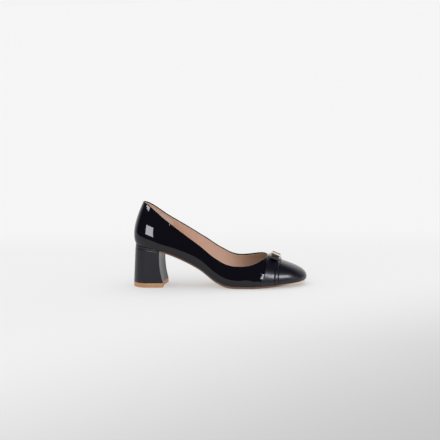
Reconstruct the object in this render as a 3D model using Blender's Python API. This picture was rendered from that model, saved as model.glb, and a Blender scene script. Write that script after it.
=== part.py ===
"""A block heel pump for the right foot: leather upper, capped toe, vamp band with a bow, covered block heel.

The toe points to +X, the outer side of the foot to -Y, and the floor is Z = 0. The origin is the middle
of the flat foot of the heel. Lengths are in metres. Run it with: blender --background --python part.py
"""

import math
from collections import namedtuple

import bmesh
import bpy
import numpy as np
from mathutils import Vector
from mathutils.bvhtree import BVHTree

# The last and the sole
LENGTH = 0.2392  # back of the seat to the tip of the toe, along the floor
BALL_WIDTH = 0.0750  # sole at its widest
HEEL_RISE = 0.0600  # floor to the feather line, at the back of the seat
COLLAR_HEIGHT = 0.0616  # feather line to the topline, at the back
TOE_SPRING = 0.0044  # how far the toe lifts off the floor
SOLE_THICKNESS = 0.0036  # outsole under the forefoot
SHANK_THICKNESS = 0.0026  # outsole under the arch
SOLE_INSET = 0.0006  # sole edge inside the feather line
SOLE_BEVEL = 0.0010  # lower corner of the sole edge
WALL = 0.0020  # upper leather with its lining
CLEARANCE = 0.0003  # between pieces that touch

# The insole
INSOLE_THICKNESS = 0.0024
INSOLE_INSET = 0.0008  # beside the wall

# The heel
SEAT_LENGTH = 0.0405  # back of the seat to the top of the breast
HEEL_FOOT_WIDTH = 0.0450
HEEL_FOOT_SETBACK = -0.0016  # back of the flat foot, from the back of the seat
BREAST_LEAN = 0.0029  # foot of the breast in front of its top
HEEL_FOOT_FRONT = SEAT_LENGTH + BREAST_LEAN
HEEL_CORNER = 0.0024  # rounding of the corners beside the breast
BREAST_HOLLOW = 0.0022  # how deep the breast curves in between its corners
BREAST_WAIST = 0.0024  # how far the breast draws back between its top and its foot
HEEL_LIP = 0.0008  # heel top outside the feather line
LIFT_THICKNESS = 0.0062  # top piece, the replaceable tread of the heel
LIFT_BEVEL = 0.0006

# Overlays on the toe, with distances from the throat, the front of the topline
BAND_BACK_TOP = 0.0007  # back edge of the band on the crest
BAND_BACK_FOOT = -0.0078  # the same edge at the floor
BAND_FRONT = 0.0126
PIPING_WIDTH = 0.0047
BAND_THICKNESS = 0.0014
PIPING_THICKNESS = 0.0019
CAP_THICKNESS = 0.0009

# The bow, with sizes across the shoe called reach
BOW_PLACE = 0.0092  # throat to the middle of the bow
RIBBON_WIDTH = 0.0116
RIBBON_GATHER = 0.80  # width under the keeper, as a share of the ribbon's width
RIBBON_THICKNESS = 0.0005
LOWER_LOOP_REACH = 0.0150
UPPER_LOOP_REACH = 0.0120
LOOP_HEIGHT = 0.0026
LOOP_PINCH = 0.45  # height under the keeper, as a share of the loop's height
LOWER_LOOP_DROP = 0.0008  # how far the loop ends hang below the middle
UPPER_LOOP_LIFT = 0.0008  # how far they stand above it
KEEPER_LENGTH = 0.0196
KEEPER_WIDTH = 0.0070
KEEPER_THICKNESS = 0.0008

# How finely the solids are faceted
RIBS = 96  # round the shoe
LEVELS = 10  # feather line to topline
OUTLINE_POINTS = 480
SOLE_STATIONS = 42
STATION_GAP = 0.001  # closest that two stations of the sole may be
INSOLE_STATIONS = 38
HEEL_POINTS = 30  # round the back of the heel
BREAST_POINTS = 6
HEEL_LEVELS = 7
LOOP_POINTS = 18  # along one face of a loop

# The sole line from the side: along as a share of LENGTH, heel as a share of the heel's rise,
# spring as a share of the toe spring. The forefoot between the two flat rows lies on the floor.
SoleRow = namedtuple("SoleRow", "along heel spring")
SOLE_LINE = (
    SoleRow(-0.02, 1.010, 0.0),
    SoleRow(0.10, 0.931, 0.0),
    SoleRow(0.20, 0.828, 0.0),
    SoleRow(0.30, 0.651, 0.0),
    SoleRow(0.40, 0.424, 0.0),
    SoleRow(0.50, 0.118, 0.0),
    SoleRow(0.56, 0.020, 0.0),
    SoleRow(0.61, 0.000, 0.0),
    SoleRow(0.70, 0.000, 0.0),
    SoleRow(0.78, 0.000, 0.22),
    SoleRow(0.88, 0.000, 0.59),
    SoleRow(1.02, 0.000, 1.08),
)

# The outsole's thickness: share is 0 at the shank's thickness and 1 at the forefoot's.
ThicknessRow = namedtuple("ThicknessRow", "along share")
SOLE_TAPER = (
    ThicknessRow(0.00, 0.0),
    ThicknessRow(0.42, 0.0),
    ThicknessRow(0.58, 1.0),
    ThicknessRow(1.02, 1.0),
)

# The last, one row for each rib, from the back of the heel round the outer side to the toe and home
# round the inner side. along and top_along are shares of LENGTH, across and top_across of BALL_WIDTH,
# and rise, from the sole line up to the topline, of COLLAR_HEIGHT. flare is the wall's outward angle
# at the feather line and lean its inward angle at the topline, in degrees from upright.
RibRow = namedtuple("RibRow", "along across top_along top_across rise flare lean")
RIB_ROWS = (
    RibRow(0.015, 0.000, 0.066, 0.000, 1.000, 25, 27),
    RibRow(0.032, -0.195, 0.082, -0.120, 0.990, 24, 25),
    RibRow(0.083, -0.300, 0.121, -0.208, 0.926, 22, 20),
    RibRow(0.168, -0.336, 0.193, -0.265, 0.759, 15, 12),
    RibRow(0.276, -0.325, 0.293, -0.306, 0.615, 22, 6),
    RibRow(0.397, -0.345, 0.401, -0.353, 0.533, 28, 4),
    RibRow(0.510, -0.413, 0.502, -0.400, 0.508, 28, 4),
    RibRow(0.619, -0.478, 0.598, -0.435, 0.453, 22, 8),
    RibRow(0.719, -0.493, 0.682, -0.415, 0.453, 8, 34),
    RibRow(0.820, -0.450, 0.737, -0.322, 0.503, 9, 46),
    RibRow(0.900, -0.364, 0.767, -0.205, 0.551, 12, 52),
    RibRow(0.952, -0.280, 0.779, -0.110, 0.575, 15, 57),
    RibRow(0.987, -0.140, 0.784, -0.050, 0.585, 17, 59),
    RibRow(1.000, 0.030, 0.785, 0.010, 0.591, 18, 60),
    RibRow(0.990, 0.190, 0.784, 0.070, 0.596, 17, 59),
    RibRow(0.955, 0.322, 0.780, 0.130, 0.601, 15, 57),
    RibRow(0.900, 0.411, 0.767, 0.240, 0.611, 12, 52),
    RibRow(0.820, 0.483, 0.729, 0.362, 0.612, 9, 45),
    RibRow(0.719, 0.500, 0.669, 0.432, 0.578, 9, 32),
    RibRow(0.619, 0.447, 0.590, 0.444, 0.566, 14, 18),
    RibRow(0.510, 0.347, 0.502, 0.411, 0.620, 26, 10),
    RibRow(0.397, 0.287, 0.401, 0.360, 0.610, 34, 6),
    RibRow(0.276, 0.300, 0.293, 0.313, 0.666, 25, 8),
    RibRow(0.168, 0.336, 0.193, 0.270, 0.756, 17, 12),
    RibRow(0.083, 0.300, 0.121, 0.210, 0.900, 22, 20),
    RibRow(0.032, 0.195, 0.082, 0.120, 0.975, 24, 25),
)
LOWER_PULL = 0.29  # Bezier handle at the feather line, as a share of the rib's chord
UPPER_PULL = 0.34  # the same at the topline

# The keeper from the side, from its middle to its end: along as a share of half its length and rise
# as a share of the height of the ribbons under it.
KeeperRow = namedtuple("KeeperRow", "along rise")
KEEPER_ROWS = (
    KeeperRow(0.00, 1.10),
    KeeperRow(0.34, 1.07),
    KeeperRow(0.60, 0.98),
    KeeperRow(0.72, 0.60),
    KeeperRow(0.84, 0.16),
    KeeperRow(1.00, 0.02),
)

NAVY_PATENT = (0.006, 0.007, 0.016)
NAVY_CALF = (0.016, 0.017, 0.030)
NATURAL_LEATHER = (0.42, 0.24, 0.13)
LINING_TAN = (0.46, 0.27, 0.17)
RIBBON_BLACK = (0.010, 0.010, 0.012)
PALE_GOLD = (0.83, 0.66, 0.42)

THROAT = LENGTH * max(row.top_along for row in RIB_ROWS)  # from the back of the seat
SEAT_BACK = -(HEEL_FOOT_SETBACK + HEEL_FOOT_FRONT) / 2  # puts the middle of the heel's foot at the origin


def monotone_curve(xs, ys, at):
    """A smooth curve through the rows that never overshoots them, and stays flat between equal rows."""
    xs, ys = np.asarray(xs, float), np.asarray(ys, float)
    step, slope = np.diff(xs), np.diff(ys) / np.diff(xs)
    tangent = np.concatenate(([slope[0]], np.zeros(len(xs) - 2), [slope[-1]]))
    for i in range(1, len(xs) - 1):
        if slope[i - 1] * slope[i] > 0:
            before, after = 2 * step[i] + step[i - 1], step[i] + 2 * step[i - 1]
            tangent[i] = (before + after) / (before / slope[i - 1] + after / slope[i])
    i = np.clip(np.searchsorted(xs, at) - 1, 0, len(xs) - 2)
    t = (at - xs[i]) / step[i]
    return (
        (2 * t**3 - 3 * t**2 + 1) * ys[i]
        + (t**3 - 2 * t**2 + t) * step[i] * tangent[i]
        + (3 * t**2 - 2 * t**3) * ys[i + 1]
        + (t**3 - t**2) * step[i] * tangent[i + 1]
    )


def closed_spline(knots, values, at):
    """A closed cubic curve with even curvature through values; the last knot closes the loop."""
    count, step = len(values), np.diff(knots)
    system, right = np.zeros((count, count)), np.zeros_like(values)
    for i in range(count):
        before, after = step[i - 1], step[i]
        system[i, i - 1] += after
        system[i, i] += 2 * (before + after)
        system[i, (i + 1) % count] += before
        rise_before = (values[i] - values[i - 1]) / before
        rise_after = (values[(i + 1) % count] - values[i]) / after
        right[i] = 3 * (after * rise_before + before * rise_after)
    tangent = np.linalg.solve(system, right)
    i = np.clip(np.searchsorted(knots, at, side="right") - 1, 0, count - 1)
    after = (i + 1) % count
    t, width = ((at - knots[i]) / step[i])[:, None], step[i][:, None]
    return (
        (2 * t**3 - 3 * t**2 + 1) * values[i]
        + (t**3 - 2 * t**2 + t) * width * tangent[i]
        + (3 * t**2 - 2 * t**3) * values[after]
        + (t**3 - t**2) * width * tangent[after]
    )


def sole_line(x):
    """Height of the sole's upper face above the floor, for a distance from the back of the seat."""
    along = [row.along for row in SOLE_LINE]
    share = np.asarray(x, float) / LENGTH
    heel = monotone_curve(along, [row.heel for row in SOLE_LINE], share)
    spring = monotone_curve(along, [row.spring for row in SOLE_LINE], share)
    return SOLE_THICKNESS + (HEEL_RISE - SOLE_THICKNESS) * heel + TOE_SPRING * spring


def outward(points):
    """Unit vectors pointing out of a closed outline in plan, which runs anticlockwise seen from above."""
    along = np.roll(points[:, :2], -1, axis=0) - np.roll(points[:, :2], 1, axis=0)
    normal = np.stack([along[:, 1], -along[:, 0]], axis=1)
    normal /= np.linalg.norm(normal, axis=1)[:, None]
    return np.column_stack([normal, np.zeros(len(points))])


def last_ribs(count):
    """The ribs of the last: foot and top points, and the two Bezier handles between them."""
    rows = np.array(RIB_ROWS, float)
    foot_rows = rows[:, :2] * (LENGTH, BALL_WIDTH)
    chords = np.linalg.norm(np.roll(foot_rows, -1, axis=0) - foot_rows, axis=1)
    knots = np.concatenate(([0.0], np.cumsum(chords)))
    at = np.linspace(0.0, knots[-1], count, endpoint=False)
    along, across, top_along, top_across, rise, flare, lean = closed_spline(knots, rows, at).T
    foot_x, top_x = along * LENGTH, top_along * LENGTH
    foot = np.stack([foot_x, across * BALL_WIDTH, sole_line(foot_x) + CLEARANCE], axis=1)
    top_z = sole_line(top_x) + rise * COLLAR_HEIGHT
    top = np.stack([top_x, top_across * BALL_WIDTH, top_z], axis=1)
    chord = np.linalg.norm(top - foot, axis=1)[:, None]
    up = np.array([0.0, 0.0, 1.0])
    flare, lean = np.radians(flare)[:, None], np.radians(lean)[:, None]
    low = foot + LOWER_PULL * chord * (outward(foot) * np.sin(flare) + up * np.cos(flare))
    high = top + UPPER_PULL * chord * (outward(top) * np.sin(lean) - up * np.cos(lean))
    return foot, low, high, top


def last_surface(ribs, levels):
    """Points of the upper's outer face, as an array of ribs by levels, from feather line to topline."""
    foot, low, high, top = (part[:, None, :] for part in last_ribs(ribs))
    t = np.linspace(0.0, 1.0, levels + 1)[None, :, None]
    return (1 - t) ** 3 * foot + 3 * (1 - t) ** 2 * t * low + 3 * (1 - t) * t**2 * high + t**3 * top


def surface_normals(points):
    """Outward unit normals of a last surface, at each of its points."""
    round_shoe = np.roll(points, -1, axis=0) - np.roll(points, 1, axis=0)
    normal = np.cross(round_shoe, np.gradient(points, axis=1))
    return normal / np.linalg.norm(normal, axis=2)[:, :, None]


def outline(inset):
    """The feather line in plan, moved in by inset: its outer and its inner half, each from back to toe."""
    foot = last_ribs(OUTLINE_POINTS)[0]
    points = (foot - outward(foot) * inset)[:, :2]
    points = np.roll(points, -int(points[:, 0].argmin()), axis=0)
    tip = int(points[:, 0].argmax())
    return points[: tip + 1], np.vstack([points[tip:], points[:1]])[::-1]


def sole_bottom(x):
    """Height of the sole's lower face, at the same distance."""
    along, share = np.array(SOLE_TAPER).T
    full = monotone_curve(along, share, np.asarray(x) / LENGTH)
    return sole_line(x) - SHANK_THICKNESS - (SOLE_THICKNESS - SHANK_THICKNESS) * full


def material(name, color, roughness, metallic=0.0, coat=0.0):
    made = bpy.data.materials.new(name)
    made.use_nodes = True
    shader = made.node_tree.nodes["Principled BSDF"]
    shader.inputs["Base Color"].default_value = (*color, 1.0)
    shader.inputs["Roughness"].default_value = roughness
    shader.inputs["Metallic"].default_value = metallic
    shader.inputs["Coat Weight"].default_value = coat
    made.diffuse_color = (*color, 1.0)
    return made


def piece(name, mesh, finish, shoe):
    """A named object from a bmesh, with its origin on the middle of the heel's foot."""
    data = bpy.data.meshes.new(name)
    mesh.to_mesh(data)
    mesh.free()
    data.materials.append(finish)
    data.shade_smooth()
    data.set_sharp_from_angle(angle=math.radians(40))
    made = bpy.data.objects.new(name, data)
    bpy.context.scene.collection.objects.link(made)
    made.parent = shoe
    return made


def thickened(made, thickness, outwards):
    """Gives a sheet its wall, on the outer or the inner side."""
    wall = made.modifiers.new("wall", "SOLIDIFY")
    wall.thickness = thickness
    wall.offset = 1.0 if outwards else -1.0
    wall.use_even_offset = True
    return made


def skin_mesh(gap=0.0):
    """The upper's outer face as a sheet of triangles, moved out along its normals by gap."""
    points = last_surface(RIBS, LEVELS)
    points = points + surface_normals(points) * gap + (SEAT_BACK, 0.0, 0.0)
    mesh = bmesh.new()
    verts = [[mesh.verts.new(point) for point in rib] for rib in points]
    for i, rib in enumerate(verts):
        after = verts[(i + 1) % RIBS]
        for k in range(LEVELS):
            mesh.faces.new((rib[k], after[k], after[k + 1]))
            mesh.faces.new((rib[k], after[k + 1], rib[k + 1]))
    return mesh


def on_skin():
    """A function that gives the point of the upper's outer face above a place in plan."""
    mesh = skin_mesh()
    tree = BVHTree.FromBMesh(mesh)
    mesh.free()
    return lambda x, y: tree.ray_cast(Vector((SEAT_BACK + x, y, 1.0)), Vector((0.0, 0.0, -1.0)))[0]


def cut_off(mesh, place, keep):
    """Cuts a sheet at a plane through place and drops what lies against the direction keep."""
    everything = mesh.verts[:] + mesh.edges[:] + mesh.faces[:]
    bmesh.ops.bisect_plane(mesh, geom=everything, plane_co=place, plane_no=keep, clear_inner=True)


def upper(finish, shoe):
    return thickened(piece("upper", skin_mesh(), finish, shoe), WALL, outwards=False)


def overlay(name, back, front, thickness, finish, shoe):
    """A strip of leather over the toe between two planes, each a place and the direction of its front."""
    mesh = skin_mesh(CLEARANCE)
    cut_off(mesh, *back)
    if front:
        cut_off(mesh, front[0], -front[1])
    return thickened(piece(name, mesh, finish, shoe), thickness, outwards=True)


def toe_overlays(finish, piping_finish, shoe):
    """The band, the raised piping along its front edge, and the toe cap."""
    top = on_skin()(THROAT + BAND_BACK_TOP, 0.0)
    foot = Vector((SEAT_BACK + THROAT + BAND_BACK_FOOT, 0.0, 0.0))
    rise = top - foot
    forward = Vector((1.0, 0.0, 0.0))
    edges = [(foot, Vector((rise.z, 0.0, -rise.x)).normalized())]
    for place in (BAND_FRONT, BAND_FRONT + CLEARANCE, BAND_FRONT + CLEARANCE + PIPING_WIDTH):
        edges.append((Vector((SEAT_BACK + THROAT + place, 0.0, 0.0)), forward))
    cap_back = (edges[3][0] + forward * CLEARANCE, forward)
    overlay("vamp_band", edges[0], edges[1], BAND_THICKNESS, finish, shoe)
    overlay("band_piping", edges[2], edges[3], PIPING_THICKNESS, piping_finish, shoe)
    overlay("toe_cap", cap_back, None, CAP_THICKNESS, finish, shoe)


def plate(name, inset, stations, lower, upper_face, bevel, finish, shoe):
    """A sole or insole: a ring of six points at each station along the foot, joined and capped."""
    outer, inner = outline(inset)
    mesh = bmesh.new()
    rings = []
    for x in stations:
        right, left = np.interp(x, *outer.T), np.interp(x, *inner.T)
        low, high = float(lower(x)), float(upper_face(x))
        edge = min(bevel, 0.25 * (left - right), 0.4 * (high - low))
        ring = (
            (right, high), (right, low + edge), (right + edge, low),
            (left - edge, low), (left, low + edge), (left, high),
        )
        rings.append([mesh.verts.new((SEAT_BACK + x, y, z)) for y, z in ring])
    for ring, after in zip(rings, rings[1:]):
        for k in range(6):
            mesh.faces.new((ring[k], after[k], after[k - 5], ring[k - 5]))
    mesh.faces.new(rings[0])
    mesh.faces.new(rings[-1][::-1])
    bmesh.ops.recalc_face_normals(mesh, faces=mesh.faces[:])
    return piece(name, mesh, finish, shoe)


def outsole(finish, shoe):
    """From the heel's breast to the toe; its face between the two flat rows lies on the floor."""
    back = SEAT_LENGTH + CLEARANCE
    tip = outline(SOLE_INSET)[0][:, 0].max()
    spaced = back + (tip - back) * np.sin(np.linspace(0.0, 0.985, SOLE_STATIONS) * math.pi / 2)
    flat = np.array([row.along * LENGTH for row in SOLE_LINE if row.heel == 0 and row.spring == 0])
    clear = [x for x in spaced if np.abs(flat - x).min() > STATION_GAP]
    stations = np.sort(np.concatenate([clear, flat]))
    plate("outsole", SOLE_INSET, stations, sole_bottom, sole_line, SOLE_BEVEL, finish, shoe)


def insole(finish, shoe):
    """A sock over seat and foot, beside the wall all round."""
    inset = WALL + INSOLE_INSET
    outer = outline(inset)[0]
    back, tip = outer[:, 0].min(), outer[:, 0].max()
    turn = np.linspace(0.014, 0.986, INSOLE_STATIONS) * math.pi
    stations = back + (tip - back) * (1 - np.cos(turn)) / 2

    def lower(x):
        return sole_line(x) + CLEARANCE

    def upper_face(x):
        return lower(x) + INSOLE_THICKNESS

    plate("insole", inset, stations, lower, upper_face, INSOLE_THICKNESS / 4, finish, shoe)


def foot_outline(inset=0.0):
    """Outer corner of the heel's flat foot, round its back, to the inner corner, all moved in by inset."""
    half = HEEL_FOOT_WIDTH / 2 - inset
    back, front = HEEL_FOOT_SETBACK + inset, HEEL_FOOT_FRONT - inset
    straight = max(front - back - half, 0.0)
    total = 2 * straight + math.pi * half
    points = []
    for k in range(HEEL_POINTS + 1):
        run = total * k / HEEL_POINTS
        if run < straight:
            points.append((front - run, -half))
        elif run > total - straight:
            points.append((front - (total - run), half))
        else:
            turn = (run - straight) / half
            points.append((back + half - half * math.sin(turn), -half * math.cos(turn)))
    return np.array(points)


def seat_outline():
    """The same for the heel's top, which follows the feather line."""
    outer, inner = outline(-HEEL_LIP)
    first, last = ((SEAT_LENGTH, np.interp(SEAT_LENGTH, *half.T)) for half in (outer, inner))
    outer = outer[outer[:, 0] < SEAT_LENGTH][::-1]
    inner = inner[inner[:, 0] < SEAT_LENGTH][1:]
    points = np.vstack([first, outer, inner, last])
    run = np.concatenate(([0.0], np.cumsum(np.linalg.norm(np.diff(points, axis=0), axis=1))))
    at = np.linspace(0.0, run[-1], HEEL_POINTS + 1)
    return np.stack([np.interp(at, run, points[:, 0]), np.interp(at, run, points[:, 1])], axis=1)


def breast_line(right, left, hollow):
    """Points between the two corners of a breast, curving in by hollow, without the corners."""
    shares = np.arange(1, BREAST_POINTS) / BREAST_POINTS
    return [np.array(left) + (np.array(right) - left) * s - (hollow * 4 * s * (1 - s), 0.0) for s in shares]


def block(name, rings, finish, shoe):
    """A closed body through rings of points, which run round the back and then along the breast."""
    mesh = bmesh.new()
    rows = [[mesh.verts.new(point) for point in ring] for ring in rings]
    count = len(rows[0])
    for row, above in zip(rows, rows[1:]):
        for k in range(count):
            mesh.faces.new((row[k], row[(k + 1) % count], above[(k + 1) % count], above[k]))
    for row in (rows[0], rows[-1]):
        for k in range(HEEL_POINTS // 2):
            across = (row[k], row[k + 1], row[HEEL_POINTS - k - 1], row[HEEL_POINTS - k])
            mesh.faces.new(dict.fromkeys(across))
        mesh.faces.new([row[0]] + row[HEEL_POINTS:])
    bmesh.ops.recalc_face_normals(mesh, faces=mesh.faces[:])
    weight = mesh.edges.layers.float.new("bevel_weight_edge")
    for row, above in zip(rows, rows[1:]):
        for k in (0, HEEL_POINTS):
            mesh.edges.get((row[k], above[k]))[weight] = 1.0
    made = piece(name, mesh, finish, shoe)
    rounding = made.modifiers.new("corners", "BEVEL")
    rounding.limit_method = "WEIGHT"
    rounding.width = HEEL_CORNER
    rounding.segments = 3


def heel(finish, shoe):
    """The block, from its flat foot up to the seat, with the breast drawn in between."""
    low, high = foot_outline(), seat_outline()
    bottom = LIFT_THICKNESS + CLEARANCE
    rings = []
    for level in range(HEEL_LEVELS + 1):
        share = level / HEEL_LEVELS
        side = low + (high - low) * share
        front = side[0, 0]
        draw = BREAST_WAIST * 4 * share * (1 - share)
        back = side[:, 0].min()
        side[:, 0] -= draw * np.clip((side[:, 0] - back) / (front - back), 0, 1) ** 2
        breast = breast_line(side[0], side[-1], BREAST_HOLLOW * (1 - share**4))
        plan = np.vstack([side, breast])
        z = bottom + (sole_line(plan[:, 0]) - bottom) * share
        rings.append(np.column_stack([plan[:, 0] + SEAT_BACK, plan[:, 1], z]))
    block("heel", rings, finish, shoe)


def top_lift(finish, shoe):
    """The tread under the heel, bevelled round its lower edge."""
    rings = []
    for z, inset in ((0.0, LIFT_BEVEL), (LIFT_BEVEL, 0.0), (LIFT_THICKNESS, 0.0)):
        side = foot_outline(inset)
        plan = np.vstack([side, breast_line(side[0], side[-1], BREAST_HOLLOW)])
        rings.append(np.column_stack([plan[:, 0] + SEAT_BACK, plan[:, 1], np.full(len(plan), z)]))
    block("top_lift", rings, finish, shoe)


def loop_swell(share):
    """How far a loop has opened, from 0 under the keeper to 1 near its end."""
    return math.sin(min(1.0, abs(share) / 0.9) * math.pi / 2) ** 2


def loop_section(reach, bend):
    """A pair of ribbon loops across the shoe: closed points (across, up), with the ends moved up by bend."""
    points = []
    for turn in np.arange(2 * LOOP_POINTS) * math.pi / LOOP_POINTS:
        share, swell = math.cos(turn), loop_swell(math.cos(turn))
        half = LOOP_HEIGHT / 2 * (LOOP_PINCH + (1 - LOOP_PINCH) * swell) * math.sqrt(1 - abs(share) ** 7)
        face = 1 if turn < math.pi else -1
        points.append((reach * share, LOOP_HEIGHT * LOOP_PINCH / 2 + bend * swell + face * half))
    return np.array(points)


def bow_frame():
    """The bow's seat on the crest: its place, its three directions, and how far the ribbon lies above it."""
    surface = on_skin()
    seat_x, half = THROAT + BOW_PLACE, RIBBON_WIDTH / 2
    middle = surface(seat_x, 0.0)
    across = (surface(seat_x, LOWER_LOOP_REACH) - surface(seat_x, -LOWER_LOOP_REACH)).normalized()
    along = surface(seat_x + half, 0.0) - surface(seat_x - half, 0.0)
    upward = along.cross(across).normalized()
    forward = across.cross(upward)

    def proud(x, y):
        at = middle + forward * x + across * y
        return (surface(at.x - SEAT_BACK, at.y) - middle).dot(upward)

    seat = max(proud(x, 0.0) for x in (-KEEPER_LENGTH / 2, 0.0, KEEPER_LENGTH / 2))
    section = loop_section(LOWER_LOOP_REACH, -LOWER_LOOP_DROP)
    need = max(proud(x, y) - z for x in (-half, 0.0, half) for y, z in section)
    over = CLEARANCE + PIPING_THICKNESS + CLEARANCE
    return middle + upward * (seat + over), forward, across, upward, max(need - seat, 0.0)


def inner_section(points, thickness):
    """A closed section moved in by thickness."""
    along = np.roll(points, -1, axis=0) - np.roll(points, 1, axis=0)
    along /= np.linalg.norm(along, axis=1)[:, None]
    return points + thickness * np.stack([-along[:, 1], along[:, 0]], axis=1)


def strip_body(mesh, rings, closed):
    """Faces along rings of four points each, joined into a ring or capped at both ends."""
    pairs = list(zip(rings, rings[1:] + rings[:1])) if closed else list(zip(rings, rings[1:]))
    for ring, after in pairs:
        for j in range(4):
            mesh.faces.new((ring[j], ring[j - 3], after[j - 3], after[j]))
    if not closed:
        mesh.faces.new(rings[0])
        mesh.faces.new(rings[-1][::-1])
    bmesh.ops.recalc_face_normals(mesh, faces=mesh.faces[:])


def ribbon_loops(name, frame, reach, bend, lift, finish, shoe):
    """Two loops of one ribbon, open to the front and the back, drawn in under the keeper."""
    place, forward, across, upward = frame
    outer = loop_section(reach, bend)
    inner = inner_section(outer, RIBBON_THICKNESS)
    mesh = bmesh.new()
    rings = []
    for (y_out, z_out), (y_in, z_in) in zip(outer, inner):
        gather = RIBBON_GATHER + (1 - RIBBON_GATHER) * loop_swell(y_out / reach)
        side = forward * (RIBBON_WIDTH / 2 * gather)
        out = place + across * y_out + upward * (z_out + lift)
        within = place + across * y_in + upward * (z_in + lift)
        rings.append([mesh.verts.new(at) for at in (out - side, out + side, within + side, within - side)])
    strip_body(mesh, rings, closed=True)
    piece(name, mesh, finish, shoe)


def bow_keeper(frame, stack, finish, shoe):
    """A plain arched plate over the middle of the ribbons; stack is their height."""
    place, forward, across, upward = frame
    side = across * (KEEPER_WIDTH / 2)
    half = [(row.along * KEEPER_LENGTH / 2, row.rise * (stack + CLEARANCE)) for row in KEEPER_ROWS]
    profile = [(-x, z) for x, z in half[:0:-1]] + half
    mesh = bmesh.new()
    rings = []
    for k, (x, z) in enumerate(profile):
        before, after = profile[max(k - 1, 0)], profile[min(k + 1, len(profile) - 1)]
        slope = Vector((after[0] - before[0], after[1] - before[1])).normalized()
        under = place + forward * x + upward * z
        over = under + (upward * slope.x - forward * slope.y) * KEEPER_THICKNESS
        rings.append([mesh.verts.new(at) for at in (under - side, under + side, over + side, over - side)])
    strip_body(mesh, rings, closed=False)
    made = piece("bow_keeper", mesh, finish, shoe)
    rounding = made.modifiers.new("edges", "BEVEL")
    rounding.width = KEEPER_THICKNESS / 4
    rounding.segments = 1
    rounding.angle_limit = math.radians(60)


def bow(ribbon, metal, shoe):
    """Two pairs of ribbon loops, one on the other, held by the keeper."""
    *frame, lift = bow_frame()
    layer = LOOP_HEIGHT * LOOP_PINCH + CLEARANCE
    ribbon_loops("bow_lower_loops", frame, LOWER_LOOP_REACH, -LOWER_LOOP_DROP, lift, ribbon, shoe)
    ribbon_loops("bow_upper_loops", frame, UPPER_LOOP_REACH, UPPER_LOOP_LIFT, lift + layer, ribbon, shoe)
    bow_keeper(frame, lift + 2 * layer, metal, shoe)


def main():
    for old in list(bpy.data.objects):
        bpy.data.objects.remove(old, do_unlink=True)
    shoe = bpy.data.objects.new("shoe", None)
    bpy.context.scene.collection.objects.link(shoe)
    patent = material("navy_patent", NAVY_PATENT, 0.12, coat=0.6)
    calf = material("navy_calf", NAVY_CALF, 0.35)
    natural = material("natural_leather", NATURAL_LEATHER, 0.55)
    lining = material("lining_leather", LINING_TAN, 0.6)
    ribbon = material("black_ribbon", RIBBON_BLACK, 0.7)
    gold = material("pale_gold", PALE_GOLD, 0.25, metallic=1.0)
    upper(patent, shoe)
    toe_overlays(calf, calf, shoe)
    outsole(natural, shoe)
    insole(lining, shoe)
    heel(calf, shoe)
    top_lift(natural, shoe)
    bow(ribbon, gold, shoe)


main()
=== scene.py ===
"""The looks of a navy patent block heel pump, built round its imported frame.

The toe points to +X, the outer side of the foot to -Y, and the floor is Z = 0. Lengths are in metres.
Every piece follows the last of the shoe, which the class Last works out from the same sizes and tables
as the frame, so that each one lies where its plain solid lies.
"""

import sys

import logging
import math
from dataclasses import dataclass, field
from enum import Enum
from functools import cached_property
from typing import Callable, NamedTuple, Sequence

import bpy
import numpy as np
from mathutils import Matrix, Quaternion, Vector
from mathutils.bvhtree import BVHTree

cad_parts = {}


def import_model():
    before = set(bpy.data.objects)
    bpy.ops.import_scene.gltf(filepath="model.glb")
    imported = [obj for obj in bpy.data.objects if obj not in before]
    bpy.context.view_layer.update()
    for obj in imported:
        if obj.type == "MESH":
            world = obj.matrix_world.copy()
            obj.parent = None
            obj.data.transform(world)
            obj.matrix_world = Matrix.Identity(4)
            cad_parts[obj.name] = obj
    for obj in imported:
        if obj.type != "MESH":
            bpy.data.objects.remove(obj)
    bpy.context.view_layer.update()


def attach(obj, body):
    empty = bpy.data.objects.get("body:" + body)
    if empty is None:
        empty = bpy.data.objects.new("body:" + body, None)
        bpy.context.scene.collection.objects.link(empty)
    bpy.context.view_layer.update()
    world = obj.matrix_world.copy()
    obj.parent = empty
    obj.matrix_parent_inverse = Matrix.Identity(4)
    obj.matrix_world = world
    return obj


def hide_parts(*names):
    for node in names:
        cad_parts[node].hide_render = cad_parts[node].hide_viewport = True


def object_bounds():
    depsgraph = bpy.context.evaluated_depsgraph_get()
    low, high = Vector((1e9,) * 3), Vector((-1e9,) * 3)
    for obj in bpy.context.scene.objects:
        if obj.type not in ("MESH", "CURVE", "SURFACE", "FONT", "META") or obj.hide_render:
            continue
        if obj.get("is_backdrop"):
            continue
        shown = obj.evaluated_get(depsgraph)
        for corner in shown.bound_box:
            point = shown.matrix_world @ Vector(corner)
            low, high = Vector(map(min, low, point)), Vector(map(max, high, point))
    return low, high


log = logging.getLogger("pump")
Socket = bpy.types.NodeSocket
Piece = bpy.types.Object
Faces = Callable[[float], tuple[float, float]]


class SoleRow(NamedTuple):
    """A station of the sole line: shares of the length, of the heel's rise and of the toe spring."""

    along: float
    heel: float
    spring: float


class ThicknessRow(NamedTuple):
    """How thick the outsole is along the foot: 0 as the shank, 1 as the forefoot."""

    along: float
    share: float


class RibRow(NamedTuple):
    """A rib of the last: its foot and its top in plan, its rise, and its angles from upright in degrees."""

    along: float
    across: float
    top_along: float
    top_across: float
    rise: float
    flare: float
    lean: float


class KeeperRow(NamedTuple):
    """The bow's keeper from the side: shares of half its length and of the height of the ribbons."""

    along: float
    rise: float


class CreaseRow(NamedTuple):
    """A soft trough in the patent leather, in millimetres: from one place to another in the side view."""

    side: float
    x: float
    z: float
    to_x: float
    to_z: float
    width: float
    depth: float


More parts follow.
